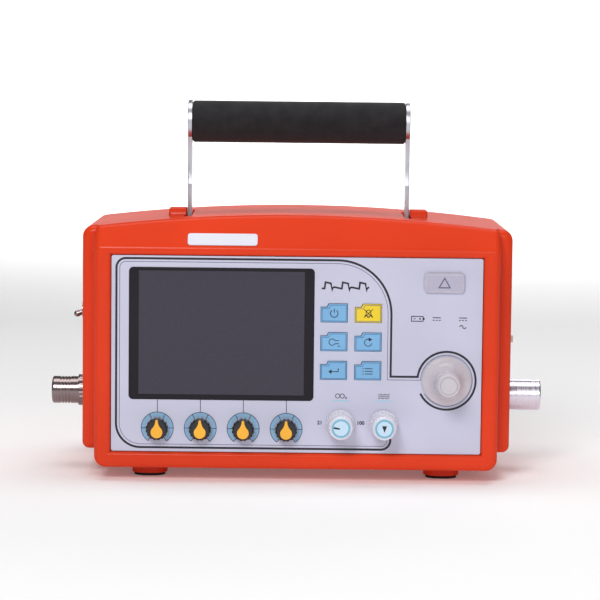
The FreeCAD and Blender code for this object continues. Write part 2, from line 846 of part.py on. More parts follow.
def tall_flute(x, angle):
    """Fine grip groove that follows the taper."""
    reach = s.tall_base + 0.55
    lean = math.degrees(math.atan2(1.8, 18.0))
    tool = rod("-y", (x + reach * math.cos(angle), FACE - 3, s.tall_z + reach * math.sin(angle)),
               0.8, s.tall_length)
    inward = FreeCAD.Vector(-math.cos(angle), 0, -math.sin(angle))
    hinge = inward.cross(FreeCAD.Vector(0, -1, 0))
    turn = FreeCAD.Rotation(hinge, -lean)
    tool.Placement = FreeCAD.Placement(tool.Placement.Base, turn.multiply(TURNS["-y"]))
    return tool


def tall_cap(x):
    """Thin disc pressed into the end of the knob."""
    end = s.tall_length
    points = [
        (0, end - 1.4), (s.cap_radius, end - 1.4), (s.cap_radius, end + 0.1),
        (s.cap_radius - 0.5, end + 0.5), (0, end + 0.5),
    ]
    return turned(points, (x, FACE, s.tall_z), "-y")


def valve(x):
    """Cylindrical valve body behind the panel, with its panel bushing and nut."""
    body = rod("y", (x, BACK + 0.2, s.tall_z), s.valve_radius, s.valve_length)
    bushing = rod("y", (x, FACE - 4, s.tall_z), 5.6, s.panel_thick + 5)
    nut = rod("y", (x, FACE - 3, s.tall_z), 6.8, 3)
    bore = rod("y", (x, FACE - 5, s.tall_z), s.shaft_radius + s.running, 26)
    stub = rod("y", (x, BACK + s.valve_length, s.tall_z), 4.0, 8)
    return cut(fuse(body, bushing, nut, stub), bore)


# ---------------------------------------------------------------- encoder
ROTOR_RADIUS = 4.2


def encoder_knob():
    """Trumpet-shaped knob; its shaft slides in the encoder's rotor when it is pressed."""
    high = s.encoder_length
    rim = s.encoder_rim
    waist = s.encoder_waist
    points = [
        (0, 7.0), (8.0, 7.0), (8.0, 1.3), (s.encoder_base, 1.3), (s.encoder_base, 2.6),
        (s.encoder_base - 1.2, 3.4), (waist, 13.0, -12.0), (rim + 0.4, high - 2.5),
        (rim - 0.6, high - 0.4), (6.1, high - 0.4), (6.1, high - 1.6), (0, high - 1.6),
    ]
    knob = turned(points, (s.encoder_x, FACE, s.encoder_z), "-y")
    shaft = rod("y", (s.encoder_x, FACE - high + 4, s.encoder_z), s.shaft_radius, high - 4 + 13)
    return fuse(knob, shaft)


def encoder_cap():
    high = s.encoder_length
    points = [(0, high - 1.6), (5.9, high - 1.6), (5.9, high - 0.4), (5.2, high), (0, high)]
    return turned(points, (s.encoder_x, FACE, s.encoder_z), "-y")


def encoder_rotor():
    """Sleeve that turns with the knob and lets it slide."""
    sleeve = rod("y", (s.encoder_x, FACE - 3, s.encoder_z), ROTOR_RADIUS, 15)
    bore = rod("y", (s.encoder_x, FACE - 4, s.encoder_z), s.shaft_radius + s.running, 17)
    return cut(sleeve, bore)


def encoder_body():
    half = s.encoder_side / 2
    case = block((s.encoder_x - half, s.encoder_x + half), (BACK + 0.2, BACK + 14),
                 (s.encoder_z - half, s.encoder_z + half))
    bushing = rod("y", (s.encoder_x, FACE - 2.5, s.encoder_z), 6.0, s.panel_thick + 4)
    nut = rod("y", (s.encoder_x, FACE - 1.8, s.encoder_z), 7.4, 1.8)
    bore = rod("y", (s.encoder_x, FACE - 3.5, s.encoder_z), ROTOR_RADIUS + s.running, 18.5)
    return cut(fuse(case, bushing, nut), bore)


def panel_nodes():
    """Everything that the front panel carries."""
    node("front_plate", front_plate())
    node("display_window", display_window())
    node("display_module", display_module())
    for name, column, row in KEYS:
        node(name, key(column, row))
    node("key_board", key_board())
    node("alarm_lens", alarm_lens())
    for index in range(4):
        node(f"dial_knob_{index + 1}", dial_knob(index))
        node(f"dial_pointer_{index + 1}", dial_pointer(index))
    node("dial_potentiometers", group(*[potentiometer(index) for index in range(4)]))
    node("oxygen_knob", tall_knob(s.oxygen_x))
    node("oxygen_knob_cap", tall_cap(s.oxygen_x))
    node("mixer_valve", valve(s.oxygen_x))
    node("flow_knob", tall_knob(s.flow_x))
    node("flow_knob_cap", tall_cap(s.flow_x))
    node("flow_valve", valve(s.flow_x))
    node("encoder_knob", encoder_knob())
    node("encoder_cap", encoder_cap())
    node("encoder_rotor", encoder_rotor())
    node("encoder_body", encoder_body())


# ---------------------------------------------------------------- handle
ARM_HOLE = 2.6          # radius of the grip screws' shanks


def handle_arm(side):
    """Flat arm: a small round end on the pivot, a waist, and a large round end at the grip."""
    low = s.pivot_z
    high = s.grip_z
    small = s.arm_end
    big = s.arm_disc
    shoulder = math.sqrt(SIZES["arm_disc"] ** 2 - 10.5 ** 2)
    waist = -60
    points = [
        (high + big, MID), (high - shoulder, MID + 10.5, big), (low + 24, MID + 8.0, waist),
        (low, MID + small), (low - small, MID, small), (low, MID - small, small),
        (low + 24, MID - 8.0), (high - shoulder, MID - 10.5, waist), (high + big, MID, big),
    ]
    points = points[1:]
    start = s.arm_in + s.arm_thick if side > 0 else -s.arm_in
    arm = plate(points, s.arm_thick, (start, 0, 0), "-x")
    bore = side_rod(side, MID, low, s.pin_radius + s.running, s.arm_in - OVER, s.arm_thick + 2)
    hole = side_rod(side, MID, high, ARM_HOLE, s.arm_in - OVER, s.arm_thick + 2)
    sink = sunk_cone(side, high, s.arm_in + s.arm_thick - 2.2, ARM_HOLE, 2.2, 0.1)
    arm = cut(arm, bore, hole, sink)
    return rounded(arm, 0.6, lambda m, along, e: e.Length > 8 and abs(abs(m.x) - (
        s.arm_in.value + s.arm_thick.value)) < 0.01 and e.Curve.TypeId != "Part::GeomCircle"
        or e.Length > 20 and abs(abs(m.x) - (s.arm_in.value + s.arm_thick.value)) < 0.01)


def sunk_cone(side, height, start, radius, deep, spare):
    """Countersink for a grip screw, opening outwards."""
    axis = "x" if side > 0 else "-x"
    return cone(axis, (size_of(start) * side, MID, height), radius, radius + 2.2 + spare,
                size_of(deep) + spare)


def handle_screws():
    """Countersunk screws that hold the grip tube between the arms."""
    screws = []
    for side in (-1, 1):
        outside = s.arm_in + s.arm_thick
        head = sunk_cone(side, s.grip_z, outside - 2.2, ARM_HOLE - 0.1, 2.2, 0)
        shank = side_rod(side, MID, s.grip_z, ARM_HOLE - 0.1, s.grip_half - 10, 11.2)
        drive_hole = side_rod(side, MID, s.grip_z, 1.5, outside - 1.6, 3)
        screws.append(cut(fuse(head, shank), drive_hole))
    return screws


def handle_tube():
    """Tube inside the grip, with a plug at each end that takes the screw."""
    tube = rod("x", (-s.grip_half, MID, s.grip_z), 11.0, 2 * s.grip_half)
    hollow = rod("x", (12 - s.grip_half, MID, s.grip_z), 9.5, 2 * s.grip_half - 24)
    holes = [side_rod(side, MID, s.grip_z, ARM_HOLE - 0.1, s.grip_half - 10.5, 12)
             for side in (-1, 1)]
    return cut(tube, hollow, *holes)


def handle_grip():
    """Foam sleeve."""
    sleeve = rod("x", (-s.grip_half, MID, s.grip_z), s.grip_radius, 2 * s.grip_half)
    sleeve = rounded(sleeve, 1.2, lambda m, along, e: e.Length > 50 and abs(
        abs(m.x) - s.grip_half.value) < 0.01)
    return cut(sleeve, rod("x", (-s.grip_half - 1, MID, s.grip_z), 11.0, 2 * s.grip_half + 2))


def handle_brackets():
    """On each side: a trough under the slot in the cover, a round boss, and the pivot pin."""
    pieces = []
    for side in (-1, 1):
        low = s.pivot_z - 15
        top = s.pivot_z - 3.2
        trough = block(sided(side, s.arm_in - 4.2, s.boss_out), around(MID, s.slot_half + 3),
                       (low, top))
        upstand = block(sided(side, s.arm_in + s.arm_thick + 1.0, s.boss_out),
                        around(MID, s.boss_radius + 2.0), (top - OVER, s.pivot_z))
        start = s.arm_in + s.arm_thick + 1.0
        boss = side_rod(side, MID, s.pivot_z, s.boss_radius + 2.0, start, s.boss_out - start)
        boss = common(boss, block(sided(side, start, s.boss_out), around(MID, 20),
                                  (low, s.pivot_z + s.boss_radius)))
        channel = block(sided(side, s.arm_in - 0.7, start), around(MID, s.slot_half),
                        (low + 3, top + 1))
        pin_hole = side_rod(side, MID, s.pivot_z, s.pin_radius, s.arm_in - 5, 30)
        body = cut(fuse(trough, upstand, boss), channel, pin_hole)
        body = rounded(body, 1.5, lambda m, along, e: abs(abs(m.x) - s.boss_out.value) < 0.01
                       and m.z > s.pivot_z.value)
        pieces.append(body)
        pieces.append(side_rod(side, MID, s.pivot_z, s.pin_radius, s.arm_in - 0.5,
                               s.boss_out - s.arm_in - 1.0))
    return pieces


# ---------------------------------------------------------------- ports and switch
WALL_IN = s.ear_half - s.wall           # inside of a side wall


def port_rod(side, radius, start, end, height=None):
    height = s.port_z if height is None else height
    return side_rod(side, PORT_Y, height, radius, start, size_of(end) - start)


def patient_outlet():
    """Socket of the patient's breathing hose: outside cone size 22, inside size 15."""
    barrel = port_rod(1, s.outlet_radius, s.ear_half + 2.5, s.outlet_end)
    barrel = rounded(barrel, 1.2, lambda m, along, e: m.x > s.outlet_end.value - 0.01
                     and e.Length > 50)
    collar = port_rod(1, s.outlet_radius - 0.8, WALL_IN - 2, s.ear_half + 2.6)
    flange = port_rod(1, 15.0, WALL_IN - 5, WALL_IN - 1.6)
    tail = port_rod(1, 8.6, WALL_IN - 16, WALL_IN - 4)
    bore = port_rod(1, s.outlet_bore, s.outlet_end - 22, s.outlet_end + OVER)
    passage = port_rod(1, 6.5, WALL_IN - 18, s.outlet_end)
    return cut(fuse(barrel, collar, flange, tail), bore, passage)


def outlet_seal():
    """Rubber ring between the outlet's flange and the side wall."""
    ring = port_rod(1, 14.0, WALL_IN - 1.6, WALL_IN)
    return cut(ring, port_rod(1, s.outlet_radius - 0.8, WALL_IN - 3, WALL_IN + 1))


def oxygen_inlet():
    """Threaded inlet for the oxygen supply hose."""
    pipe = port_rod(-1, s.inlet_radius, WALL_IN - 2, s.inlet_end)
    pipe = rounded(pipe, 1.5, lambda m, along, e: m.x < -s.inlet_end.value + 0.01)
    grooves = [ring_cut(-1, s.inlet_radius - 0.7, s.inlet_radius + 1, 163.0 + 2.2 * i, 1.0)
               for i in range(4)]
    flange = port_rod(-1, 14.0, WALL_IN - 4, WALL_IN - 0.2)
    tail = port_rod(-1, 6.5, WALL_IN - 14, WALL_IN - 3)
    bore = port_rod(-1, s.inlet_bore, s.inlet_end - 20, s.inlet_end + OVER)
    passage = port_rod(-1, 3.0, WALL_IN - 16, s.inlet_end)
    return cut(fuse(pipe, flange, tail), bore, passage, *grooves)


def ring_cut(side, inner, outer, start, wide):
    """Ring-shaped tool that cuts a groove round a port."""
    return cut(side_rod(side, PORT_Y, s.port_z, outer, start, wide),
               side_rod(side, PORT_Y, s.port_z, inner, size_of(start) - OVER, wide + 2 * OVER))


def inlet_lock_ring():
    """Knurled nut that clamps the inlet to the side wall."""
    ring = port_rod(-1, s.inlet_radius + 1.4, s.ear_half + 0.2, s.ear_half + 6.5)
    notches = []
    for i in range(24):
        angle = 2 * math.pi * i / 24
        reach = s.inlet_radius + 1.9
        notches.append(side_rod(-1, PORT_Y + reach * math.cos(angle),
                                s.port_z + reach * math.sin(angle), 0.8, s.ear_half + 1.2, 4.2))
    return cut(ring, port_rod(-1, s.inlet_radius, s.ear_half - 1, s.ear_half + 9), *notches)


def pressure_port():
    """Small nozzle for the airway pressure line."""
    stem = port_rod(1, 2.5, WALL_IN - 6, s.ear_half + 5.2, s.nozzle_z)
    collar = port_rod(1, 4.0, WALL_IN - 3, s.ear_half + 0.8, s.nozzle_z)
    return cut(fuse(stem, collar), port_rod(1, 1.2, WALL_IN - 8, s.ear_half + 8, s.nozzle_z))


LEVER_X = -s.switch_x - 1.5
REST_DROP = 20.0        # the lever points this many degrees below level at rest


def power_switch():
    """Toggle switch: body inside the wall, threaded bushing through it, and a nut."""
    body = block((1 - WALL_IN, 12 - WALL_IN), around(PORT_Y, 8),
                 (s.switch_z - 7, s.switch_z + 7))
    bushing = port_rod(-1, 5.4, WALL_IN - 2, s.ear_half + 4.0, s.switch_z)
    nut = port_rod(-1, 7.5, s.ear_half + 0.1, s.ear_half + 1.6, s.switch_z)
    hollow = port_rod(-1, 4.0, WALL_IN - 6, s.ear_half + 5, s.switch_z)
    cross = rod("y", (LEVER_X, PORT_Y - 8, s.switch_z), 1.0 + s.running, 16)
    return cut(fuse(body, bushing, nut), hollow, cross)


def toggle_lever():
    """Bat lever, round at the hub and at the tip, on its cross pin."""
    hub = 2.6
    neck = 1.5
    tip = 2.3
    reach = 9.0
    points = [
        (0, -hub), (neck, math.sqrt(hub ** 2 - neck ** 2), hub), (tip, reach),
        (0, reach + tip, tip),
    ]
    lever = turned(points, (LEVER_X, PORT_Y, s.switch_z), "-x")
    drop = FreeCAD.Rotation(FreeCAD.Vector(0, 1, 0), -REST_DROP)
    lever.Placement = FreeCAD.Placement(lever.Placement.Base, drop.multiply(TURNS["-x"]))
    pin = rod("y", (LEVER_X, PORT_Y - 5.0, s.switch_z), 1.0, 10)
    return fuse(lever, pin)


# ---------------------------------------------------------------- inside
def main_board():
    """Control board with its larger components, upright behind the display."""
    y = FRONT + 44
    board = block((-125, 10), (y, y + 1.6), (66, 164))
    parts = [
        block((-110, -80), (y + 1.6, y + 4.1), (120, 150)),
        block((-60, -42), (y + 1.6, y + 3.8), (128, 146)),
        block((-30, 0), (y + 1.6, y + 10), (74, 84)),
        block((-115, -85), (y + 1.6, y + 10), (74, 84)),
        rod("y", (-60, y + 1.6, 90), 5.0, 14),
        rod("y", (-46, y + 1.6, 90), 5.0, 14),
        block((-20, -6), (y + 1.6, y + 6), (110, 140)),
    ]
    return fuse(board, *parts)


def battery_pack():
    pack = block((DOOR["x"] - 50, DOOR["x"] + 50), (REAR - 44, PANEL_FRONT - 0.4),
                 (DOOR["z"] - 27, DOOR["z"] + 27))
    return rounded(pack, 3.0, along_axis("y"))


MANIFOLD = {"left": 20.0, "right": 74.0}


def gas_manifold():
    """Drilled block that joins the two valves, the supply and the patient's hose."""
    back = BACK + s.valve_length + 8
    blank = block((MANIFOLD["left"], MANIFOLD["right"]), (back - 4, back + 32), (28, 72))
    sockets = [rod("y", (x, back - 6, s.tall_z), 4.1, 14) for x in (s.oxygen_x, s.flow_x)]
    across = rod("x", (MANIFOLD["right"] - 14, PORT_Y, s.port_z), 7.0, 16)
    supply = rod("-x", (MANIFOLD["left"] + 14, PORT_Y, s.port_z), 3.0, 16)
    return cut(blank, across, supply, *sockets)


def solenoid_valve():
    """Timing valve on top of the manifold."""
    y = BACK + s.valve_length + 22
    base = block((34, 60), (y - 13, y + 13), (72, 86))
    coil = rod("z", (47, y, 86), 11.0, 26)
    cap = rod("z", (47, y, 112), 4.0, 4)
    return fuse(base, coil, cap)


def gas_hoses():
    """The two hoses inside: supply to manifold, and manifold to patient outlet."""
    outlet = tube(MANIFOLD["right"] + 0.1, WALL_IN - 16.1, 8.6, 6.5)
    supply = tube(-88.0, MANIFOLD["left"] - 0.1, 5.0, 3.0)
    return [outlet, supply]


def tube(start, end, outer, inner):
    """Straight hose along X on the ports' axis."""
    length = size_of(end) - start
    return cut(rod("x", (start, PORT_Y, s.port_z), outer, length),
               rod("x", (size_of(start) - OVER, PORT_Y, s.port_z), inner, length + 2 * OVER))


def pressure_regulator():
    """Regulator between the oxygen inlet and the supply hose."""
    body = block((-WALL_IN + 14.1, -88.1), around(PORT_Y, 14), (s.port_z - 14, s.port_z + 14))
    bonnet = rod("z", (-112, PORT_Y, s.port_z + 14), 13.0, 16)
    knob = rod("z", (-112, PORT_Y, s.port_z + 30), 5.0, 6)
    return fuse(body, bonnet, knob)


def speaker():
    frame = rear_piece(SPEAKER, SPEAKER["radius"], PANEL_FRONT - 5, PANEL_FRONT)
    magnet = rear_piece(SPEAKER, 10.0, PANEL_FRONT - 13, PANEL_FRONT - 4)
    throat = rear_piece(SPEAKER, 15.0, PANEL_FRONT - 1, PANEL_FRONT + OVER)
    return cut(fuse(frame, magnet), throat)


def rear_piece(spot, radius, start, end):
    return rod("y", (spot["x"], start, spot["z"]), radius, size_of(end) - start)


# ---------------------------------------------------------------- rear fittings
def dc_socket():
    """Round power socket with a centre pin."""
    shell = rear_piece(SOCKET, 11.0, REAR - 22, REAR + 4)
    rim = rear_piece(SOCKET, 13.5, REAR, REAR + 2)
    mouth = rear_piece(SOCKET, 8.0, REAR - 3.5, REAR + 5)
    hollow = rear_piece(SOCKET, 7.5, REAR - 14, REAR)
    pins = [rod("y", (SOCKET["x"] + x, REAR - 15, SOCKET["z"] + z), 1.2, 10.5)
            for x, z in ((-3.5, 0.0), (3.5, 0.0), (0.0, 3.5))]
    return fuse(cut(fuse(shell, rim), mouth, hollow), *pins)


def filter_cover():
    """Screw-on cover of the air filter, with a grip bar and a ring of slots."""
    r = FILTER["radius"]
    disc = rear_piece(FILTER, r, REAR, REAR + 3.5)
    spigot = rear_piece(FILTER, r - 3.5, REAR - 16, REAR + 1)
    hollow = rear_piece(FILTER, r - 5.0, REAR - 17, REAR - 1)
    bar = block((FILTER["x"] - r + 4, FILTER["x"] + r - 4), (REAR + 3, REAR + 6),
                (FILTER["z"] - 2, FILTER["z"] + 2))
    slots = []
    for i in range(10):
        angle = 2 * math.pi * (i + 0.5) / 10
        spot = {"x": FILTER["x"] + 8.5 * math.cos(angle), "z": FILTER["z"] + 8.5 * math.sin(angle)}
        slots.append(rear_piece(spot, 1.4, REAR - 2, REAR + 4))
    return cut(fuse(disc, spigot, bar), hollow, *slots)


def case_screws():
    """Pan-head screws of the rear panel."""
    screws = []
    for x, z in SCREW_SPOTS:
        spot = {"x": x, "z": z}
        head = rear_piece(spot, 3.8, REAR, REAR + 2.4)
        shank = rear_piece(spot, 1.9, REAR - 14, REAR + 1)
        socket = [block((x - a, x + a), (REAR + 1, REAR + 3), (z - b, z + b))
                  for a, b in ((2.2, 0.5), (0.5, 2.2))]
        screws.append(cut(fuse(head, shank), *socket))
    return screws


def rest_nodes():
    """Handle, ports, rear fittings and everything inside the case."""
    node("handle_arms", group(handle_arm(-1), handle_arm(1)))
    node("handle_screws", group(*handle_screws()))
    node("handle_tube", handle_tube())
    node("handle_grip", handle_grip())
    node("handle_brackets", group(*handle_brackets()))
    node("patient_outlet", patient_outlet())
    node("outlet_seal", outlet_seal())
    node("oxygen_inlet", oxygen_inlet())
    node("inlet_lock_ring", inlet_lock_ring())
    node("pressure_port", pressure_port())
    node("power_switch", power_switch())
    node("toggle_lever", toggle_lever())
    node("main_board", main_board())
    node("battery_pack", battery_pack())
    node("gas_manifold", gas_manifold())
    node("solenoid_valve", solenoid_valve())
    node("gas_hoses", group(*gas_hoses()))
    node("pressure_regulator", pressure_regulator())
    node("speaker", speaker())
    node("dc_socket", dc_socket())
    node("filter_cover", filter_cover())
    node("case_screws", group(*case_screws()))


def main():
    node("front_bezel", front_bezel())
    node("name_plate", name_plate())
    node("upper_cover", upper_cover())
    node("base_tray", base_tray())
    node("rear_panel", rear_panel())
    node("battery_door", battery_door())
    node("feet", group(*feet()))
    node("foot_pads", group(*foot_pads()))
    panel_nodes()
    rest_nodes()


def check_and_export():
    """Stop on any failed object, then write one file for each node."""
    doc.recompute()
    for thing in doc.Objects:
        if "Invalid" in thing.State or "Error" in thing.State:
            raise RuntimeError(f"{thing.Name} ({thing.Label}) failed: {thing.State}")
    os.makedirs("parts", exist_ok=True)
    for piece in nodes:
        shape = piece.Shape
        if shape.isNull() or not shape.isValid():
            raise RuntimeError(f"{piece.Label} has no valid shape")
        shape.exportStep(f"parts/{piece.Label}.step")
        box = shape.BoundBox
        print(f"{piece.Label:22s} {len(shape.Solids):3d} solids {shape.Volume / 1000:9.2f} cm3 "
              f"x {box.XMin:7.1f} {box.XMax:7.1f}  y {box.YMin:7.1f} {box.YMax:7.1f}  "
              f"z {box.ZMin:7.1f} {box.ZMax:7.1f}")
    whole = Part.makeCompound([piece.Shape for piece in nodes]).BoundBox
    print(f"{len(nodes)} nodes, x {whole.XMin:.2f} {whole.XMax:.2f}, "
          f"y {whole.YMin:.2f} {whole.YMax:.2f}, z {whole.ZMin:.2f} {whole.ZMax:.2f}")


main()
check_and_export()
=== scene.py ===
"""Looks of the portable ventilator: materials, printed panel artwork, foam grip and studio."""
import math
import random

import bmesh
import bpy
from mathutils import Matrix, Vector


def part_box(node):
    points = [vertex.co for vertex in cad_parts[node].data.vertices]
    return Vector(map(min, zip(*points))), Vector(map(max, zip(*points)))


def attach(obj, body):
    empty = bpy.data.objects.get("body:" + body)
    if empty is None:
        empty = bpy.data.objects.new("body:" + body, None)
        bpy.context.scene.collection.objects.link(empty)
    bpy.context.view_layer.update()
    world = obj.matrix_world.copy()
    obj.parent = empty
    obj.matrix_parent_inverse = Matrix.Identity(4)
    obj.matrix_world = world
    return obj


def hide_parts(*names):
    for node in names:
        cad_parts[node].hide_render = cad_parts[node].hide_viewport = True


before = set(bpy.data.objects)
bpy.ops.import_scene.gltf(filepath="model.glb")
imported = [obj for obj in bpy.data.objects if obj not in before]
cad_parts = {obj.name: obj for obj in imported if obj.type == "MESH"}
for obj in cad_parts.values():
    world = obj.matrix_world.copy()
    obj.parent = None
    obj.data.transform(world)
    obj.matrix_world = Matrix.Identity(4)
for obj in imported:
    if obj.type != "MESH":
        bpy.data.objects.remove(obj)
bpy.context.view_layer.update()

MM = 0.001
CASE = "case"


# ---------------------------------------------------------------- materials
class Nodes:
    """Short-hand for building one node material."""

    def __init__(self, name):
        self.material = bpy.data.materials.new(name)
        self.material.use_nodes = True
        self.tree = self.material.node_tree
        self.shader = self.tree.nodes["Principled BSDF"]
        self.place = self.add("ShaderNodeTexCoord").outputs["Object"]

    def add(self, kind, **settings):
        node = self.tree.nodes.new(kind)
        for key, value in settings.items():
            setattr(node, key, value)
        return node

    def link(self, source, target):
        self.tree.links.new(source, target)

    def noise(self, size, detail=3.0, stretch=(1, 1, 1), rough=0.5):
        """Noise whose features are about size metres, stretched along the axes."""
        mapping = self.add("ShaderNodeMapping")
        mapping.inputs["Scale"].default_value = [1 / s for s in stretch]
        self.link(self.place, mapping.inputs["Vector"])
        noise = self.add("ShaderNodeTexNoise")
        noise.inputs["Scale"].default_value = 1 / size
        noise.inputs["Detail"].default_value = detail
        noise.inputs["Roughness"].default_value = rough
        self.link(mapping.outputs["Vector"], noise.inputs["Vector"])
        return noise.outputs["Fac"]

    def span(self, value, low, high, low_in=0.3, high_in=0.7):
        """Map a noise value to a range of numbers."""
        node = self.add("ShaderNodeMapRange")
        node.inputs["From Min"].default_value = low_in
        node.inputs["From Max"].default_value = high_in
        node.inputs["To Min"].default_value = low
        node.inputs["To Max"].default_value = high
        self.link(value, node.inputs["Value"])
        return node.outputs["Result"]

    def mix(self, fac, first, second):
        """Blend two colours, each a colour or a socket."""
        node = self.add("ShaderNodeMix", data_type="RGBA")
        self.feed(node.inputs[0], fac)
        self.feed(node.inputs[6], first)
        self.feed(node.inputs[7], second)
        return node.outputs[2]

    def drift(self, colour, size, dark, light, detail=2.0):
        """A colour that wanders between a darker and a lighter shade, in patches of about size."""
        return self.mix(self.share(self.noise(size, detail)), shade(colour, dark),
                        shade(colour, light))

    def share(self, value):
        """A noise value spread over the whole way from 0 to 1."""
        return self.span(value, 0.0, 1.0)

    def gloss(self, rough, size, down=0.85, up=1.2, detail=4.0):
        """Roughness that wanders round a value, from down to up times it."""
        return self.span(self.noise(size, detail), rough * down, rough * up)

    def maths(self, operation, first, second=0.0):
        node = self.add("ShaderNodeMath", operation=operation)
        self.feed(node.inputs[0], first)
        self.feed(node.inputs[1], second)
        return node.outputs[0]

    def feed(self, socket, value):
        if isinstance(value, bpy.types.NodeSocket):
            self.link(value, socket)
        elif isinstance(value, (tuple, list)) and len(value) == 3:
            socket.default_value = (*value, 1.0)
        else:
            socket.default_value = value

    def bump(self, height, depth, strength=1.0, under=None):
        """Bump whose full height is depth metres."""
        node = self.add("ShaderNodeBump")
        node.inputs["Strength"].default_value = strength
        node.inputs["Distance"].default_value = depth
        self.link(height, node.inputs["Height"])
        if under is not None:
            self.link(under, node.inputs["Normal"])
        return node.outputs["Normal"]

    def coat(self, weight, rough):
        """Clear gloss over the surface."""
        self.shader.inputs["Coat Weight"].default_value = weight
        self.shader.inputs["Coat Roughness"].default_value = rough

    def set(self, **values):
        for key, value in values.items():
            self.feed(self.shader.inputs[key.replace("_", " ")], value)
        return self.material


def srgb(red, green, blue):
    """A colour given in 0-255 display values, as the linear values that shaders take."""
    def linear(c):
        c = c / 255
        return c / 12.92 if c <= 0.04045 else ((c + 0.055) / 1.055) ** 2.4
    return tuple(linear(c) for c in (red, green, blue))


def shade(colour, factor):
    """A colour made lighter or darker."""
    return tuple(min(1.0, c * factor) for c in colour)


def plastic(name, colour, rough, grain=0.6 * MM, depth=0.02 * MM, vary=0.06, coat=0.0):
    """Moulded plastic: faint colour drift, uneven gloss and a fine moulded grain."""
    n = Nodes(name)
    base = n.drift(colour, 50 * MM, 1 - vary, 1 + vary)
    gloss = n.gloss(rough, 12 * MM)
    normal = n.bump(n.noise(grain, detail=2.0), depth)
    n.coat(coat, rough=0.12)
    return n.set(Base_Color=base, Roughness=gloss, Normal=normal)


def shell_plastic():
    """Glossy orange case: large soft waviness of a moulding, fine grain, rubbed highlights."""
    n = Nodes("orange_moulding")
    colour = srgb(222, 62, 29)
    base = n.drift(colour, 90 * MM, 0.94, 1.06)
    scuff = n.span(n.noise(1.6 * MM, detail=6.0, stretch=(1, 1, 3)), 0.0, 1.0, 0.58, 0.8)
    base = n.mix(n.maths("MULTIPLY", scuff, 0.05), base, shade(colour, 1.4))
    gloss = n.span(n.noise(15 * MM, detail=5.0), 0.30, 0.40)
    wave = n.bump(n.noise(40 * MM, detail=1.0), 0.15 * MM, strength=0.3)
    normal = n.bump(n.noise(0.7 * MM, detail=2.0), 0.025 * MM, under=wave)
    n.coat(0.3, rough=0.22)
    n.shader.inputs["Specular IOR Level"].default_value = 0.0
    return n.set(Base_Color=base, Roughness=gloss, Normal=normal)


def panel_film():
    """Satin printed film: pale lavender grey with a pebbled surface."""
    n = Nodes("panel_film")
    base = n.drift(srgb(200, 200, 221), 60 * MM, 0.96, 1.03)
    gloss = n.span(n.noise(10 * MM, detail=4.0), 0.34, 0.46)
    normal = n.bump(n.noise(0.45 * MM, detail=2.0), 0.02 * MM)
    return n.set(Base_Color=base, Roughness=gloss, Normal=normal)


def metal(name, colour, rough, stretch=(1, 1, 1), lines=0.4 * MM, depth=0.012 * MM):
    """Metal with brushed lines; stretch is long along the brushing."""
    n = Nodes(name)
    streak = n.noise(lines, detail=4.0, stretch=stretch)
    base = n.mix(n.share(streak), shade(colour, 0.9), shade(colour, 1.06))
    gloss = n.span(streak, rough * 0.75, rough * 1.35)
    normal = n.bump(streak, depth)
    n.set(Base_Color=base, Roughness=gloss, Normal=normal)
    n.shader.inputs["Metallic"].default_value = 1.0
    return n.material


def foam():
    """Closed-cell foam: open pin-holes, painted darker in their pits and lighter between them as
    painted shade, soft dents, a dull sheen.
    """
    n = Nodes("grip_foam")
    dark = srgb(19, 16, 21)
    pore_pits_and_painted_shade = n.noise(0.9 * MM, rough=0.65)
    # painted shade: the colour follows the pore noise that the bump below also uses, so the pits
    # are painted darker and the tops between them lighter
    base = n.mix(n.share(pore_pits_and_painted_shade), shade(dark, 0.6), shade(dark, 1.5))
    gloss = n.span(n.noise(10 * MM), 0.82, 0.97)
    dents = n.bump(n.noise(7 * MM, detail=2.0), 0.4 * MM, strength=0.5)
    normal = n.bump(pore_pits_and_painted_shade, 0.22 * MM, strength=0.9, under=dents)
    n.set(Base_Color=base, Roughness=gloss, Normal=normal)
    n.shader.inputs["Sheen Weight"].default_value = 0.12
    n.shader.inputs["Sheen Roughness"].default_value = 0.5
    return n.material


def inside(n, low, high):
    """1 inside a rectangle of the panel's plane, 0 outside, in object coordinates."""
    split = n.add("ShaderNodeSeparateXYZ")
    n.link(n.place, split.inputs["Vector"])
    result = None
    for axis in ("X", "Z"):
        index = "XYZ".index(axis)
        middle = (low[index] + high[index]) / 2
        half = (high[index] - low[index]) / 2
        away = n.maths("ABSOLUTE", n.maths("SUBTRACT", split.outputs[axis], middle))
        part = n.maths("LESS_THAN", away, half)
        result = part if result is None else n.maths("MULTIPLY", result, part)
    return result


def screen_glass():
    """Pane with a printed black border round a switched-off display."""
    n = Nodes("screen_pane")
    low, high = visible_area()
    lit = inside(n, low, high)
    cells = n.noise(0.35 * MM, detail=1.0)
    grey = n.mix(n.share(cells), srgb(58, 55, 66), srgb(68, 65, 77))
    base = n.mix(lit, srgb(22, 17, 26), grey)
    smear = n.span(n.noise(50 * MM, detail=2.0, stretch=(2, 1, 1)), 0.14, 0.18)
    gloss = n.maths("ADD", smear, n.maths("MULTIPLY", lit, 0.1))
    n.coat(0.1, rough=0.08)
    n.shader.inputs["Specular IOR Level"].default_value = 0.2
    return n.set(Base_Color=base, Roughness=gloss)


def visible_area():
    """The display's visible rectangle: inside the pane's printed border."""
    low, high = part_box("display_window")
    side, top, bottom = 6.8 * MM, 2.3 * MM, 3.8 * MM
    return (low[0] + side, 0, low[2] + bottom), (high[0] - side, 0, high[2] - top)


def milky(name, colour, rough, depth_mm):
    """Milky plastic that light gets into."""
    n = Nodes(name)
    base = n.drift(colour, 15 * MM, 0.95, 1.03)
    gloss = n.gloss(rough, 6 * MM)
    normal = n.bump(n.noise(0.8 * MM, detail=2.0), 0.015 * MM)
    n.shader.inputs["Subsurface Weight"].default_value = 0.25
    n.shader.inputs["Subsurface Radius"].default_value = (1.0, 0.8, 0.8)
    n.shader.inputs["Subsurface Scale"].default_value = depth_mm * MM
    n.coat(0.25, rough=0.1)
    return n.set(Base_Color=base, Roughness=gloss, Normal=normal)


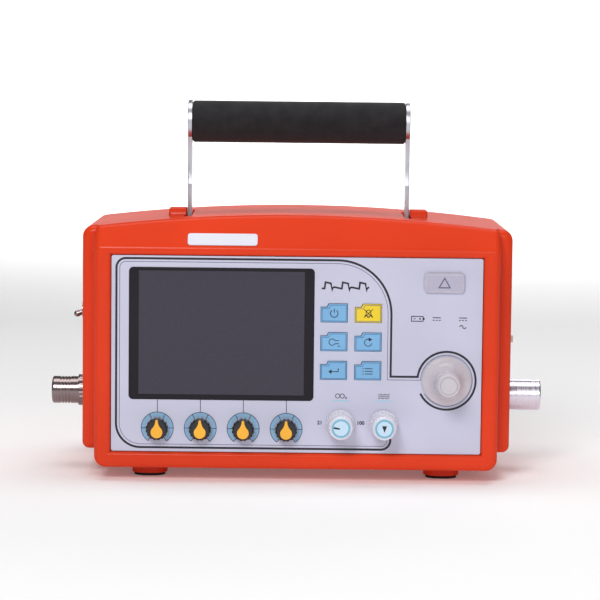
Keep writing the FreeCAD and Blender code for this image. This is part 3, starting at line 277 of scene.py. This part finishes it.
def ink(name, colour):
    """Screen-printing ink: slightly uneven cover."""
    n = Nodes(name)
    base = n.drift(colour, 0.5 * MM, 0.92, 1.08)
    return n.set(Base_Color=base, Roughness=n.gloss(0.4, 3 * MM, down=0.8, detail=2.0))


def board():
    """Circuit board: solder mask over a faint pattern of tracks."""
    n = Nodes("circuit_board")
    tracks = n.add("ShaderNodeTexBrick")
    tracks.inputs["Scale"].default_value = 180.0
    n.link(n.place, tracks.inputs["Vector"])
    base = n.mix(tracks.outputs["Fac"], srgb(16, 92, 48), srgb(34, 120, 66))
    return n.set(Base_Color=base, Roughness=n.span(n.noise(4 * MM), 0.3, 0.5))


BLACK_INK = ink("ink_black", srgb(24, 22, 38))
THIN_INK = ink("ink_grey", srgb(92, 92, 120))
UPRIGHT = (1, 1, 14)        # brushing along the handle's arms
AROUND_X = (1, 30, 30)      # fine turning rings round the side ports
ORANGE = shell_plastic()
ALUMINIUM = metal("satin_aluminium", srgb(196, 196, 204), 0.32, UPRIGHT)
TURNED = metal("turned_aluminium", srgb(226, 221, 233), 0.3, AROUND_X, 0.8 * MM, 0.002 * MM)
CHROME = metal("bright_plate", srgb(142, 127, 128), 0.22, AROUND_X, 1.0 * MM, 0.002 * MM)
BLACK_PLASTIC = plastic("black_plastic", srgb(30, 30, 33), 0.5, 0.5 * MM, 0.04 * MM)
BOARD = board()
DIALS = range(1, 5)
KEYS = ["key_standby", "key_manual", "key_return", "key_silence", "key_reset", "key_menu"]
YELLOW_KEY = "key_silence"

FINISHES = {
    ORANGE: ["front_bezel", "upper_cover", "base_tray", "rear_panel", "battery_door", "feet",
             "handle_brackets"],
    panel_film(): ["front_plate"],
    screen_glass(): ["display_window"],
    plastic("key_blue", srgb(122, 178, 222), 0.42, grain=0.4 * MM): [
        key for key in KEYS if key != YELLOW_KEY],
    plastic("key_yellow", srgb(238, 206, 28), 0.42, grain=0.4 * MM): [YELLOW_KEY],
    milky("lamp_lens", srgb(190, 186, 202), 0.28, depth_mm=2.0): ["alarm_lens"],
    plastic("blank_plate", srgb(226, 226, 238), 0.3, grain=0.8 * MM, depth=0.01 * MM,
            vary=0.02): ["name_plate"],
    plastic("dial_black", srgb(26, 24, 30), 0.34, grain=0.5 * MM, vary=0.1, coat=0.2): [
        f"dial_knob_{i}" for i in DIALS],
    plastic("pointer_yellow", srgb(250, 180, 38), 0.3, depth=0.01 * MM, coat=0.3): [
        f"dial_pointer_{i}" for i in DIALS],
    milky("knob_white", srgb(232, 230, 238), 0.26, depth_mm=1.2): ["oxygen_knob", "flow_knob"],
    plastic("cap_blue", srgb(196, 224, 242), 0.3, depth=0.01 * MM, vary=0.03, coat=0.3): [
        "oxygen_knob_cap", "flow_knob_cap"],
    milky("encoder_milk", srgb(205, 198, 206), 0.24, depth_mm=3.0): [
        "encoder_knob", "encoder_cap"],
    ALUMINIUM: ["handle_arms", "handle_tube", "gas_manifold", "encoder_rotor",
                "pressure_regulator"],
    TURNED: ["patient_outlet"],
    CHROME: ["oxygen_inlet", "inlet_lock_ring", "power_switch", "toggle_lever", "handle_screws",
             "case_screws"],
    plastic("nozzle_pale", srgb(216, 214, 200), 0.4): ["pressure_port"],
    plastic("black_rubber", srgb(26, 26, 27), 0.8, grain=0.8 * MM, depth=0.05 * MM): [
        "foot_pads", "outlet_seal"],
    BLACK_PLASTIC: ["dc_socket", "filter_cover", "battery_pack", "speaker", "solenoid_valve"],
    metal("stamped_steel", srgb(168, 168, 172), 0.36): [
        "display_module", "dial_potentiometers", "encoder_body"],
    BOARD: ["main_board", "key_board"],
    metal("turned_brass", srgb(202, 164, 92), 0.28): ["mixer_valve", "flow_valve"],
    plastic("hose_silicone", srgb(206, 212, 216), 0.35): ["gas_hoses"],
}


def paint(piece, material):
    piece.data.materials.clear()
    piece.data.materials.append(material)


def finish_cad_nodes():
    """Give every CAD node its material."""
    for material, names in FINISHES.items():
        for name in names:
            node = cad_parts[name]
            if not node.material_slots:
                node.data.materials.append(None)
            for place in node.material_slots:
                place.material = material


finish_cad_nodes()


# ---------------------------------------------------------------- printing
def arc(cx, cz, radius, first, last, steps=0):
    """Points along an arc; angles in degrees, counter-clockwise from +X."""
    steps = steps or max(6, int(abs(last - first) / 5))     # about 5 degrees a step
    points = []
    for i in range(steps + 1):
        angle = math.radians(first + (last - first) * i / steps)
        points.append((cx + radius * math.cos(angle), cz + radius * math.sin(angle)))
    return points


def ring(cx, cz, radius, steps):
    """A full circle, without its last point, which is its first."""
    return arc(cx, cz, radius, 0, 360, steps)[:-1]


def box_outline(left, low, right, high):
    """The corners of an upright rectangle."""
    return [(left, low), (right, low), (right, high), (left, high)]


def clock(degrees):
    """Angle of a dial position: degrees clockwise from the top."""
    return 90 - degrees


class Print:
    """Printed shapes in one plane that faces forward, gathered into one thin closed mesh.

    Shapes are given in millimetres from the centre, and face is the surface printed on.
    """

    SUNK = 0.01 * MM        # every print reaches this far into its face
    SHARPEST = 0.35         # limits how far a mitre runs out at a sharp corner

    def __init__(self, name, material, face, centre=(0, 0), thick=0.05):
        self.name = name
        self.material = material
        self.back = face + self.SUNK
        self.front = face - thick * MM
        self.centre = centre
        self.mesh = bmesh.new()

    def spot(self, point, y):
        """A vertex at a place on the print, at depth y."""
        return self.mesh.verts.new((self.centre[0] + point[0] * MM, y,
                                    self.centre[1] + point[1] * MM))

    def shape(self, points):
        """A filled outline."""
        front = [self.spot(p, self.front) for p in points]
        back = [self.spot(p, self.back) for p in points]
        self.mesh.faces.new(front)
        self.mesh.faces.new(back[::-1])
        for i in range(len(points)):
            j = (i + 1) % len(points)
            self.mesh.faces.new((front[j], front[i], back[i], back[j]))

    def line(self, points, width, closed=False):
        """A line of even width with mitred corners."""
        sides = self.offset(points, width / 2, closed)
        rows = [[self.spot(p, y) for p in side] for side in sides
                for y in (self.front, self.back)]
        left_front, left_back, right_front, right_back = rows
        count = len(points)
        for i in range(count if closed else count - 1):
            j = (i + 1) % count
            self.mesh.faces.new((left_front[i], left_front[j], right_front[j], right_front[i]))
            self.mesh.faces.new((left_back[j], left_back[i], right_back[i], right_back[j]))
            self.mesh.faces.new((left_front[j], left_front[i], left_back[i], left_back[j]))
            self.mesh.faces.new((right_front[i], right_front[j], right_back[j], right_back[i]))
        if not closed:
            for i, flip in ((0, False), (count - 1, True)):
                end = [left_front[i], right_front[i], right_back[i], left_back[i]]
                self.mesh.faces.new(end[::-1] if flip else end)

    def offset(self, points, half, closed):
        """The two edges of a line."""
        count = len(points)
        flat = [Vector(p) for p in points]
        left, right = [], []
        for i, here in enumerate(flat):
            before = flat[i - 1] if i > 0 or closed else None
            after = flat[(i + 1) % count] if i < count - 1 or closed else None
            runs = [(here - before).normalized() if before is not None else None,
                    (after - here).normalized() if after is not None else None]
            runs = [run for run in runs if run is not None]
            normals = [Vector((-run.y, run.x)) for run in runs]
            normal = sum(normals, Vector((0, 0))).normalized()
            reach = half / max(self.SHARPEST, normal.dot(normals[0]))
            left.append(here + normal * reach)
            right.append(here - normal * reach)
        return left, right

    def finish(self, body):
        """Make the object and let it ride on a body."""
        bmesh.ops.recalc_face_normals(self.mesh, faces=self.mesh.faces)
        data = bpy.data.meshes.new(self.name)
        self.mesh.to_mesh(data)
        self.mesh.free()
        piece = bpy.data.objects.new(self.name, data)
        bpy.context.collection.objects.link(piece)
        paint(piece, self.material)
        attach(piece, body)


def middle(node):
    """Centre of a node as seen from the front, (x, z)."""
    low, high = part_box(node)
    return (low[0] + high[0]) / 2, (low[2] + high[2]) / 2


def numerals(name, words, x, z):
    """Numbers printed on the panel, centred on a place given in metres."""
    curve = bpy.data.curves.new(name + "_text", "FONT")
    curve.body = words
    curve.size = 3.6 * MM
    curve.align_x = "CENTER"
    curve.align_y = "CENTER"
    curve.extrude = 0.03 * MM
    bold = 0.14 * MM
    curve.offset = bold
    source = bpy.data.objects.new(name + "_text", curve)
    bpy.context.collection.objects.link(source)
    bpy.context.view_layer.update()
    data = bpy.data.meshes.new_from_object(source)
    bpy.data.objects.remove(source)
    upright = Matrix.Rotation(math.pi / 2, 4, "X")
    data.transform(Matrix.Translation((x, FACE - 0.01 * MM, z)) @ upright)
    piece = bpy.data.objects.new(name, data)
    bpy.context.collection.objects.link(piece)
    paint(piece, BLACK_INK)
    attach(piece, CASE)


PLATE_LOW, PLATE_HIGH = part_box("front_plate")
WINDOW_LOW, WINDOW_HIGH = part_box("display_window")
FACE = PLATE_LOW[1]
ENCODER = middle("encoder_knob")
TOP_KEYS = middle("key_standby")[1]
TRUNK_X = 65.7          # upright part of the printed line, right of the keys, in mm


def frame_line(inset):
    """Route of the printed line round the panel and the encoder, moved inwards by inset.

    It starts with a hook at the lower right and goes clockwise to the open ring's end.
    """
    left = PLATE_LOW[0] / MM + 3.4 + inset
    low = PLATE_LOW[2] / MM + 2.7 + inset
    top = PLATE_HIGH[2] / MM - 2.0 - inset
    right = TRUNK_X - inset
    hook_right = right + 0.4
    hook_rise = 2.5
    ex, ez = ENCODER[0] / MM, ENCODER[1] / MM
    shelf = ez + 2.5 - inset
    hook, low_left, top_left, top_right, round_encoder = (
        radius - inset for radius in (6.5, 17, 6.5, 37.7, 20.3))
    ring_end = -153 + inset * 2
    points = [(hook_right, low + hook + hook_rise)]
    points += arc(hook_right - hook, low + hook, hook, 0, -90)
    points += arc(left + low_left, low + low_left, low_left, 270, 180)
    points += arc(left + top_left, top - top_left, top_left, 180, 90)
    points += arc(right - top_right, top - top_right, top_right, 90, 0)
    points.append((right, shelf))
    ring_start = 180 - math.degrees(math.asin((shelf - ez) / round_encoder))
    points += arc(ex, ez, round_encoder, ring_start, ring_end)
    return points


SCALE_INNER = 7.9       # radii of a dial's printed scale, in mm
SCALE_OUTER = 11.2


def panel_lines():
    """Thick and thin line round the panel, and a leader from the window to each dial."""
    thick = Print("printed_frame_line", BLACK_INK, FACE)
    thick.line(frame_line(0), 1.5)
    leader_top = WINDOW_LOW[2] / MM + 0.2
    for index in DIALS:
        x, z = (c / MM for c in middle(f"dial_knob_{index}"))
        thick.line([(x, leader_top), (x, z + SCALE_OUTER - 0.1)], 0.45)
    thick.finish(CASE)
    thin = Print("printed_thin_line", THIN_INK, FACE)
    thin.line(frame_line(2.3), 0.4)
    thin.finish(CASE)


def dial_scales():
    """Blue ring in five fields round each dial, open at the bottom, with dark edges."""
    blue = ink("ink_blue", srgb(140, 180, 212))
    dark = ink("ink_navy", srgb(48, 62, 100))
    inner, outer = SCALE_INNER, SCALE_OUTER
    divisions = (-145, -90, -30, 30, 90, 145)
    start, end = clock(divisions[0]), clock(divisions[-1])
    for index in DIALS:
        centre = middle(f"dial_knob_{index}")
        band = Print(f"dial_scale_{index}", blue, FACE, centre, thick=0.04)
        band.line(arc(0, 0, (inner + outer) / 2, start, end), outer - inner)
        band.finish(CASE)
        edges = Print(f"dial_scale_lines_{index}", dark, FACE, centre, thick=0.06)
        edges.line(arc(0, 0, outer, start, end), 0.5)
        for angle in divisions:
            edges.line([arc(0, 0, r, clock(angle), 0, 1)[0] for r in (inner, outer)], 0.5)
        edges.finish(CASE)


def key_art(p):
    """Generic pictograms, as functions of a Print centred on the key."""
    def standby():
        p.line(arc(0, -0.3, 2.6, 125, 415), 0.6)
        p.line([(0, 0.2), (0, 3.0)], 0.6)

    def manual():
        p.line(arc(-1.2, -0.2, 2.2, 30, 330), 0.5)
        p.line([(0.6, 0.9), (3.6, 0.9)], 0.5)
        p.line([(0.6, -1.3), (3.6, -1.3)], 0.5)
        p.line([(2.4, -3.0), (4.4, -3.0)], 0.5)

    def go_back():
        p.line([(3.2, 1.6), (3.2, -0.8), (-1.6, -0.8)], 0.6)
        p.shape([(-1.4, 0.9), (-3.6, -0.8), (-1.4, -2.5)])

    def silence():
        p.line([(-2.6, -1.8), (-1.7, -0.9), (-1.6, 0.8)] + arc(0, 0.8, 1.6, 180, 0)
               + [(1.7, -0.9), (2.6, -1.8), (-2.6, -1.8)], 0.5)
        p.line(arc(0, -2.1, 0.8, 180, 360), 0.5)
        p.line([(-3.2, -3.0), (3.2, 3.0)], 0.5)
        p.line([(-3.2, 3.0), (3.2, -3.0)], 0.5)

    def reset():
        p.line(arc(0, -0.3, 2.5, 60, 350), 0.55)
        p.shape([(0.3, 3.3), (2.9, 1.9), (0.5, 0.4)])

    def menu():
        for z in (-2.2, -0.3, 1.6):
            p.line([(-2.0, z), (3.4, z)], 0.55)
            p.line([(-3.6, z), (-2.8, z)], 0.55)

    return {"key_standby": standby, "key_manual": manual, "key_return": go_back,
            "key_silence": silence, "key_reset": reset, "key_menu": menu}


KEY_FLANGE = 1.0        # the hidden flange stands out this far round each key's face, in mm


def key_faces():
    """Dark outline and pictogram on each key."""
    edge = ink("ink_key_edge", srgb(52, 92, 138))
    margin = KEY_FLANGE + 0.75
    tab_drop = 2.4
    tab_top, tab_foot = 5.9, 4.7        # where the folder tab's slope lies, from the left
    for name in KEYS:
        low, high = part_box(name)
        centre = middle(name)
        half_w = (high[0] - low[0]) / 2 / MM - margin
        half_h = (high[2] - low[2]) / 2 / MM - margin
        step = half_h - tab_drop
        outline = [(-half_w, -half_h), (half_w, -half_h), (half_w, half_h),
                   (tab_top - half_w, half_h), (tab_foot - half_w, step), (-half_w, step)]
        face = low[1]
        border = Print(name + "_outline", edge, face, centre)
        border.line(outline, 0.35, closed=True)
        border.finish(name)
        art = Print(name + "_symbol", BLACK_INK, face, centre)
        key_art(art)[name]()
        art.finish(name)


def title_wave():
    """Three breaths of a pressure curve, in place of a title."""
    title = Print("heading_wave", BLACK_INK, FACE, (WINDOW_HIGH[0] + 23 * MM, TOP_KEYS + 19 * MM))
    rest, peak, fade, dip, bend = -2.0, 2.4, 1.6, -2.8, 1.8
    wave = [(-18, rest)]
    for start in (-16, -4, 8):
        end = start + 5.2
        wave += [(start, rest), (start + 0.6, peak), (start + 4.4, fade), (end, dip)]
        wave += arc(end + bend, dip, bend, 180, 90, 5)[1:]
    title.line(wave, 1.25)
    title.finish(CASE)


def lamp_marks():
    """Triangle and coloured field on the alarm lamp's lens."""
    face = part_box("alarm_lens")[0][1]
    centre = middle("alarm_lens")
    sign = Print("lamp_triangle", THIN_INK, face, centre, thick=0.08)
    sign.line([(-3.8, -3.1), (3.8, -3.1), (0, 3.6)], 0.8, closed=True)
    sign.finish(CASE)
    lilac = ink("ink_lamp", srgb(181, 176, 196))
    field = Print("lamp_field", lilac, face, centre, thick=0.03)
    half_w, half_h = 12.3, 5.2
    field.shape(box_outline(-half_w, -half_h, half_w, half_h))
    field.finish(CASE)


def status_row():
    """Battery with a direct-current sign, then direct current over alternating current."""
    centre = (middle("alarm_lens")[0], TOP_KEYS - 3.5 * MM)
    status = Print("status_symbols", BLACK_INK, FACE, centre)
    left, right = -11.5, 13.3
    status.line(box_outline(left - 11, -1.7, left - 3, 1.7), 0.6, closed=True)
    status.shape(box_outline(left - 2.7, -0.8, left - 1.9, 0.8))
    for start, end in ((-9.6, -8.2), (-5.8, -4.4)):
        status.line([(left + start, 0), (left + end, 0)], 0.55)
    status.line([(left - 5.1, -0.7), (left - 5.1, 0.7)], 0.55)
    for x in (left + 6.5, right):
        direct_current(status, x)
    half_wave, wave_z = 1.1, -5.4
    crest = arc(right - half_wave, wave_z, half_wave, 180, 0, 6)
    trough = arc(right + half_wave, wave_z, half_wave, 180, 360, 6)
    status.line(crest + trough[1:], 0.6)
    status.finish(CASE)


def direct_current(p, x):
    """The general sign for direct current: a line over a broken line."""
    p.line([(x - 2.8, 0.9), (x + 2.8, 0.9)], 0.6)
    for shift in (-2.1, 0, 2.1):
        p.line([(x + shift - 0.65, -0.9), (x + shift + 0.65, -0.9)], 0.6)


def gas_marks():
    """Headings, numbers and index marks at the oxygen and flow knobs."""
    ox, oz = middle("oxygen_knob")
    fx, fz = middle("flow_knob")
    heading_rise = 19.5 * MM
    underline = Print("heading_underlines", ink("ink_pale_blue", srgb(160, 205, 228)), FACE)
    line_z = oz / MM + 16.2
    for x in (ox / MM, fx / MM):
        underline.line([(x - 6, line_z), (x + 6, line_z)], 0.8)
    underline.finish(CASE)
    oxygen = Print("heading_oxygen", BLACK_INK, FACE, (ox, oz + heading_rise))
    for x in (-2.2, 1.0):
        oxygen.line(ring(x, 0, 1.5, 24), 0.5, closed=True)
    oxygen.line(ring(3.6, -1.3, 0.6, 12), 0.35, closed=True)
    oxygen.finish(CASE)
    flow = Print("heading_flow", BLACK_INK, FACE, (fx, fz + heading_rise))
    for z in (-1.3, 0.0, 1.3):
        flow.line([(x * 0.4, z + 0.35 * math.sin(x * 0.9)) for x in range(-10, 11)], 0.4)
    flow.finish(CASE)
    number_z = oz + 0.5 * MM
    numerals("oxygen_low", "21", ox - 14.5 * MM, number_z)
    numerals("oxygen_high", "100", ox + 14.0 * MM, number_z)
    cap_marks("oxygen_knob_cap", "oxygen_control",
              [(-5.0, 1.1), (-5.1, -0.2), (-0.8, -0.9), (-0.7, 0.2)])
    cap_marks("flow_knob_cap", "flow_control", [(-1.7, 2.0), (0, -2.6), (1.7, 2.0)])


def cap_marks(node, body, mark):
    """Blue ring near the cap's edge, and the knob's index mark."""
    low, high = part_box(node)
    edge, width = 0.55, 1.2
    radius = (high[0] - low[0]) / 2 / MM - edge - width / 2
    band = Print(node + "_ring", ink(node + "_blue", srgb(120, 176, 206)), low[1], middle(node))
    band.line(ring(0, 0, radius, 48), width, closed=True)
    band.finish(body)
    index = Print(node + "_index", BLACK_INK, low[1], middle(node), thick=0.08)
    index.shape(mark)
    index.finish(body)


panel_lines()
dial_scales()
key_faces()
title_wave()
lamp_marks()
status_row()
gas_marks()


def mesh_object(name, mesh, material):
    """A smooth-shaded object from a bmesh."""
    data = bpy.data.meshes.new(name)
    mesh.to_mesh(data)
    mesh.free()
    for polygon in data.polygons:
        polygon.use_smooth = True
    piece = bpy.data.objects.new(name, data)
    bpy.context.collection.objects.link(piece)
    paint(piece, material)
    return piece


# ---------------------------------------------------------------- foam grip
BORE = 11.05 * MM       # the sleeve's hole, just clear of the metal tube


def grip_profile(half, radius):
    """The sleeve's outline as (x, radius): from the bore over a rounded end and back."""
    trim = 0.05 * MM
    lip = 1.8 * MM
    corner = [math.pi / 8 * k for k in range(1, 5)]
    steps = 70
    flat = half - lip
    end = [(trim - half, BORE), (trim - half, radius - lip)]
    end += [(lip - half - lip * math.cos(a), radius - lip + lip * math.sin(a)) for a in corner]
    barrel = [(-flat + 2 * flat * i / steps, radius) for i in range(1, steps)]
    return end + barrel + [(-x, r) for x, r in reversed(end)]


def foam_grip():
    """Foam sleeve with rounded ends, its skin a little uneven."""
    low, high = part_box("handle_grip")
    centre = (Vector(low) + Vector(high)) / 2
    profile = grip_profile((high[0] - low[0]) / 2, (high[2] - low[2]) / 2)
    around = 72
    uneven = 0.04 * MM
    rng = random.Random(7)
    phases = [rng.uniform(0, 2 * math.pi) for _ in range(6)]
    mesh = bmesh.new()
    circles = []
    for x, radius in profile:
        circle = []
        for k in range(around):
            a = 2 * math.pi * k / around
            dent = sum(math.sin(a * (i % 3 + 1) + x * (60 + 37 * i) + phase)
                       for i, phase in enumerate(phases))
            on_skin = radius > BORE + 1.0 * MM
            reach = radius - uneven * (1 + dent / 3) if on_skin else radius
            circle.append(mesh.verts.new((centre.x + x, centre.y + reach * math.cos(a),
                                          centre.z + reach * math.sin(a))))
        circles.append(circle)
    for first, second in zip(circles, circles[1:] + circles[:1]):
        for k in range(around):
            j = (k + 1) % around
            mesh.faces.new((first[k], first[j], second[j], second[k]))
    bmesh.ops.recalc_face_normals(mesh, faces=mesh.faces)
    grip = mesh_object("foam_grip", mesh, foam())
    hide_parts("handle_grip")
    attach(grip, "handle")


foam_grip()


# ---------------------------------------------------------------- studio
def studio_floor():
    """Pale floor that curves up into a low wall far behind."""
    near, back, half_wide, height, bend, steps = -6.0, 6.0, 9.0, 0.9, 0.8, 16
    drop = 0.05 * MM        # keeps the floor just clear of the feet
    start = back - bend
    turns = [math.pi / 2 * i / steps for i in range(1, steps + 1)]
    points = [(near, 0.0), (start, 0.0)]
    points += [(start + bend * math.sin(a), bend - bend * math.cos(a)) for a in turns]
    points.append((back, height))
    mesh = bmesh.new()
    rows = [[mesh.verts.new((x, y, z - drop)) for x in (-half_wide, half_wide)]
            for y, z in points]
    for first, second in zip(rows, rows[1:]):
        mesh.faces.new((first[0], first[1], second[1], second[0]))
    n = Nodes("studio_paper")
    n.set(Base_Color=n.mix(n.share(n.noise(0.3)), (0.92, 0.92, 0.93), (0.94, 0.94, 0.94)))
    n.shader.inputs["Roughness"].default_value = 0.9
    n.shader.inputs["Emission Color"].default_value = (1, 1, 1, 1)
    n.shader.inputs["Emission Strength"].default_value = 0.12
    mesh_object("studio_floor", mesh, n.material)


def lamp(name, place, aim, size, power):
    """White rectangular lamp: place, aim and size in metres, power in watts."""
    data = bpy.data.lights.new(name, "AREA")
    data.shape = "RECTANGLE"
    data.size, data.size_y = size
    data.energy = power
    light = bpy.data.objects.new(name, data)
    bpy.context.collection.objects.link(light)
    light.location = place
    light.rotation_mode = "QUATERNION"
    light.rotation_quaternion = (Vector(aim) - Vector(place)).to_track_quat("-Z", "Y")


def studio_lights():
    """Soft lamps: two from the front, one above, one behind, and one for the wall."""
    aim = (0, 0, 0.12)
    lamp("key", (-0.5, -2.1, 1.45), aim, (0.8, 0.7), 28)
    lamp("fill", (0.55, -2.2, 0.8), aim, (0.7, 0.7), 7)
    lamp("top", (0.0, 0.1, 1.9), aim, (1.8, 1.0), 18)
    lamp("rear", (0.6, 2.0, 1.3), aim, (1.2, 0.8), 8)
    lamp("sweep_light", (0.0, 3.0, 2.6), (0, 6.0, 0.3), (6.0, 1.5), 260)
    world = bpy.data.worlds.new("studio")
    bpy.context.scene.world = world
    world.use_nodes = True
    background = world.node_tree.nodes["Background"]
    background.inputs["Color"].default_value = (1, 1, 1, 1)
    background.inputs["Strength"].default_value = 0.13


def camera():
    """Front view from slightly above, a little rolled, through a long lens."""
    distance = 1.7
    pitch = math.radians(5.46)
    data = bpy.data.cameras.new("camera")
    data.lens = 147
    data.sensor_width = 36
    eye = bpy.data.objects.new("camera", data)
    bpy.context.collection.objects.link(eye)
    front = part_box("front_bezel")[0][1]
    target = Vector((2.0 * MM, front, 128.2 * MM))
    eye.location = target + distance * Vector((0, -math.cos(pitch), math.sin(pitch)))
    look = (target - eye.location).to_track_quat("-Z", "Y").to_matrix().to_4x4()
    roll = Matrix.Rotation(math.radians(0.63), 4, "Z")
    eye.matrix_world = Matrix.Translation(eye.location) @ look @ roll
    bpy.context.scene.camera = eye


studio_floor()
studio_lights()
camera()
bpy.context.scene.view_settings.view_transform = "Standard"
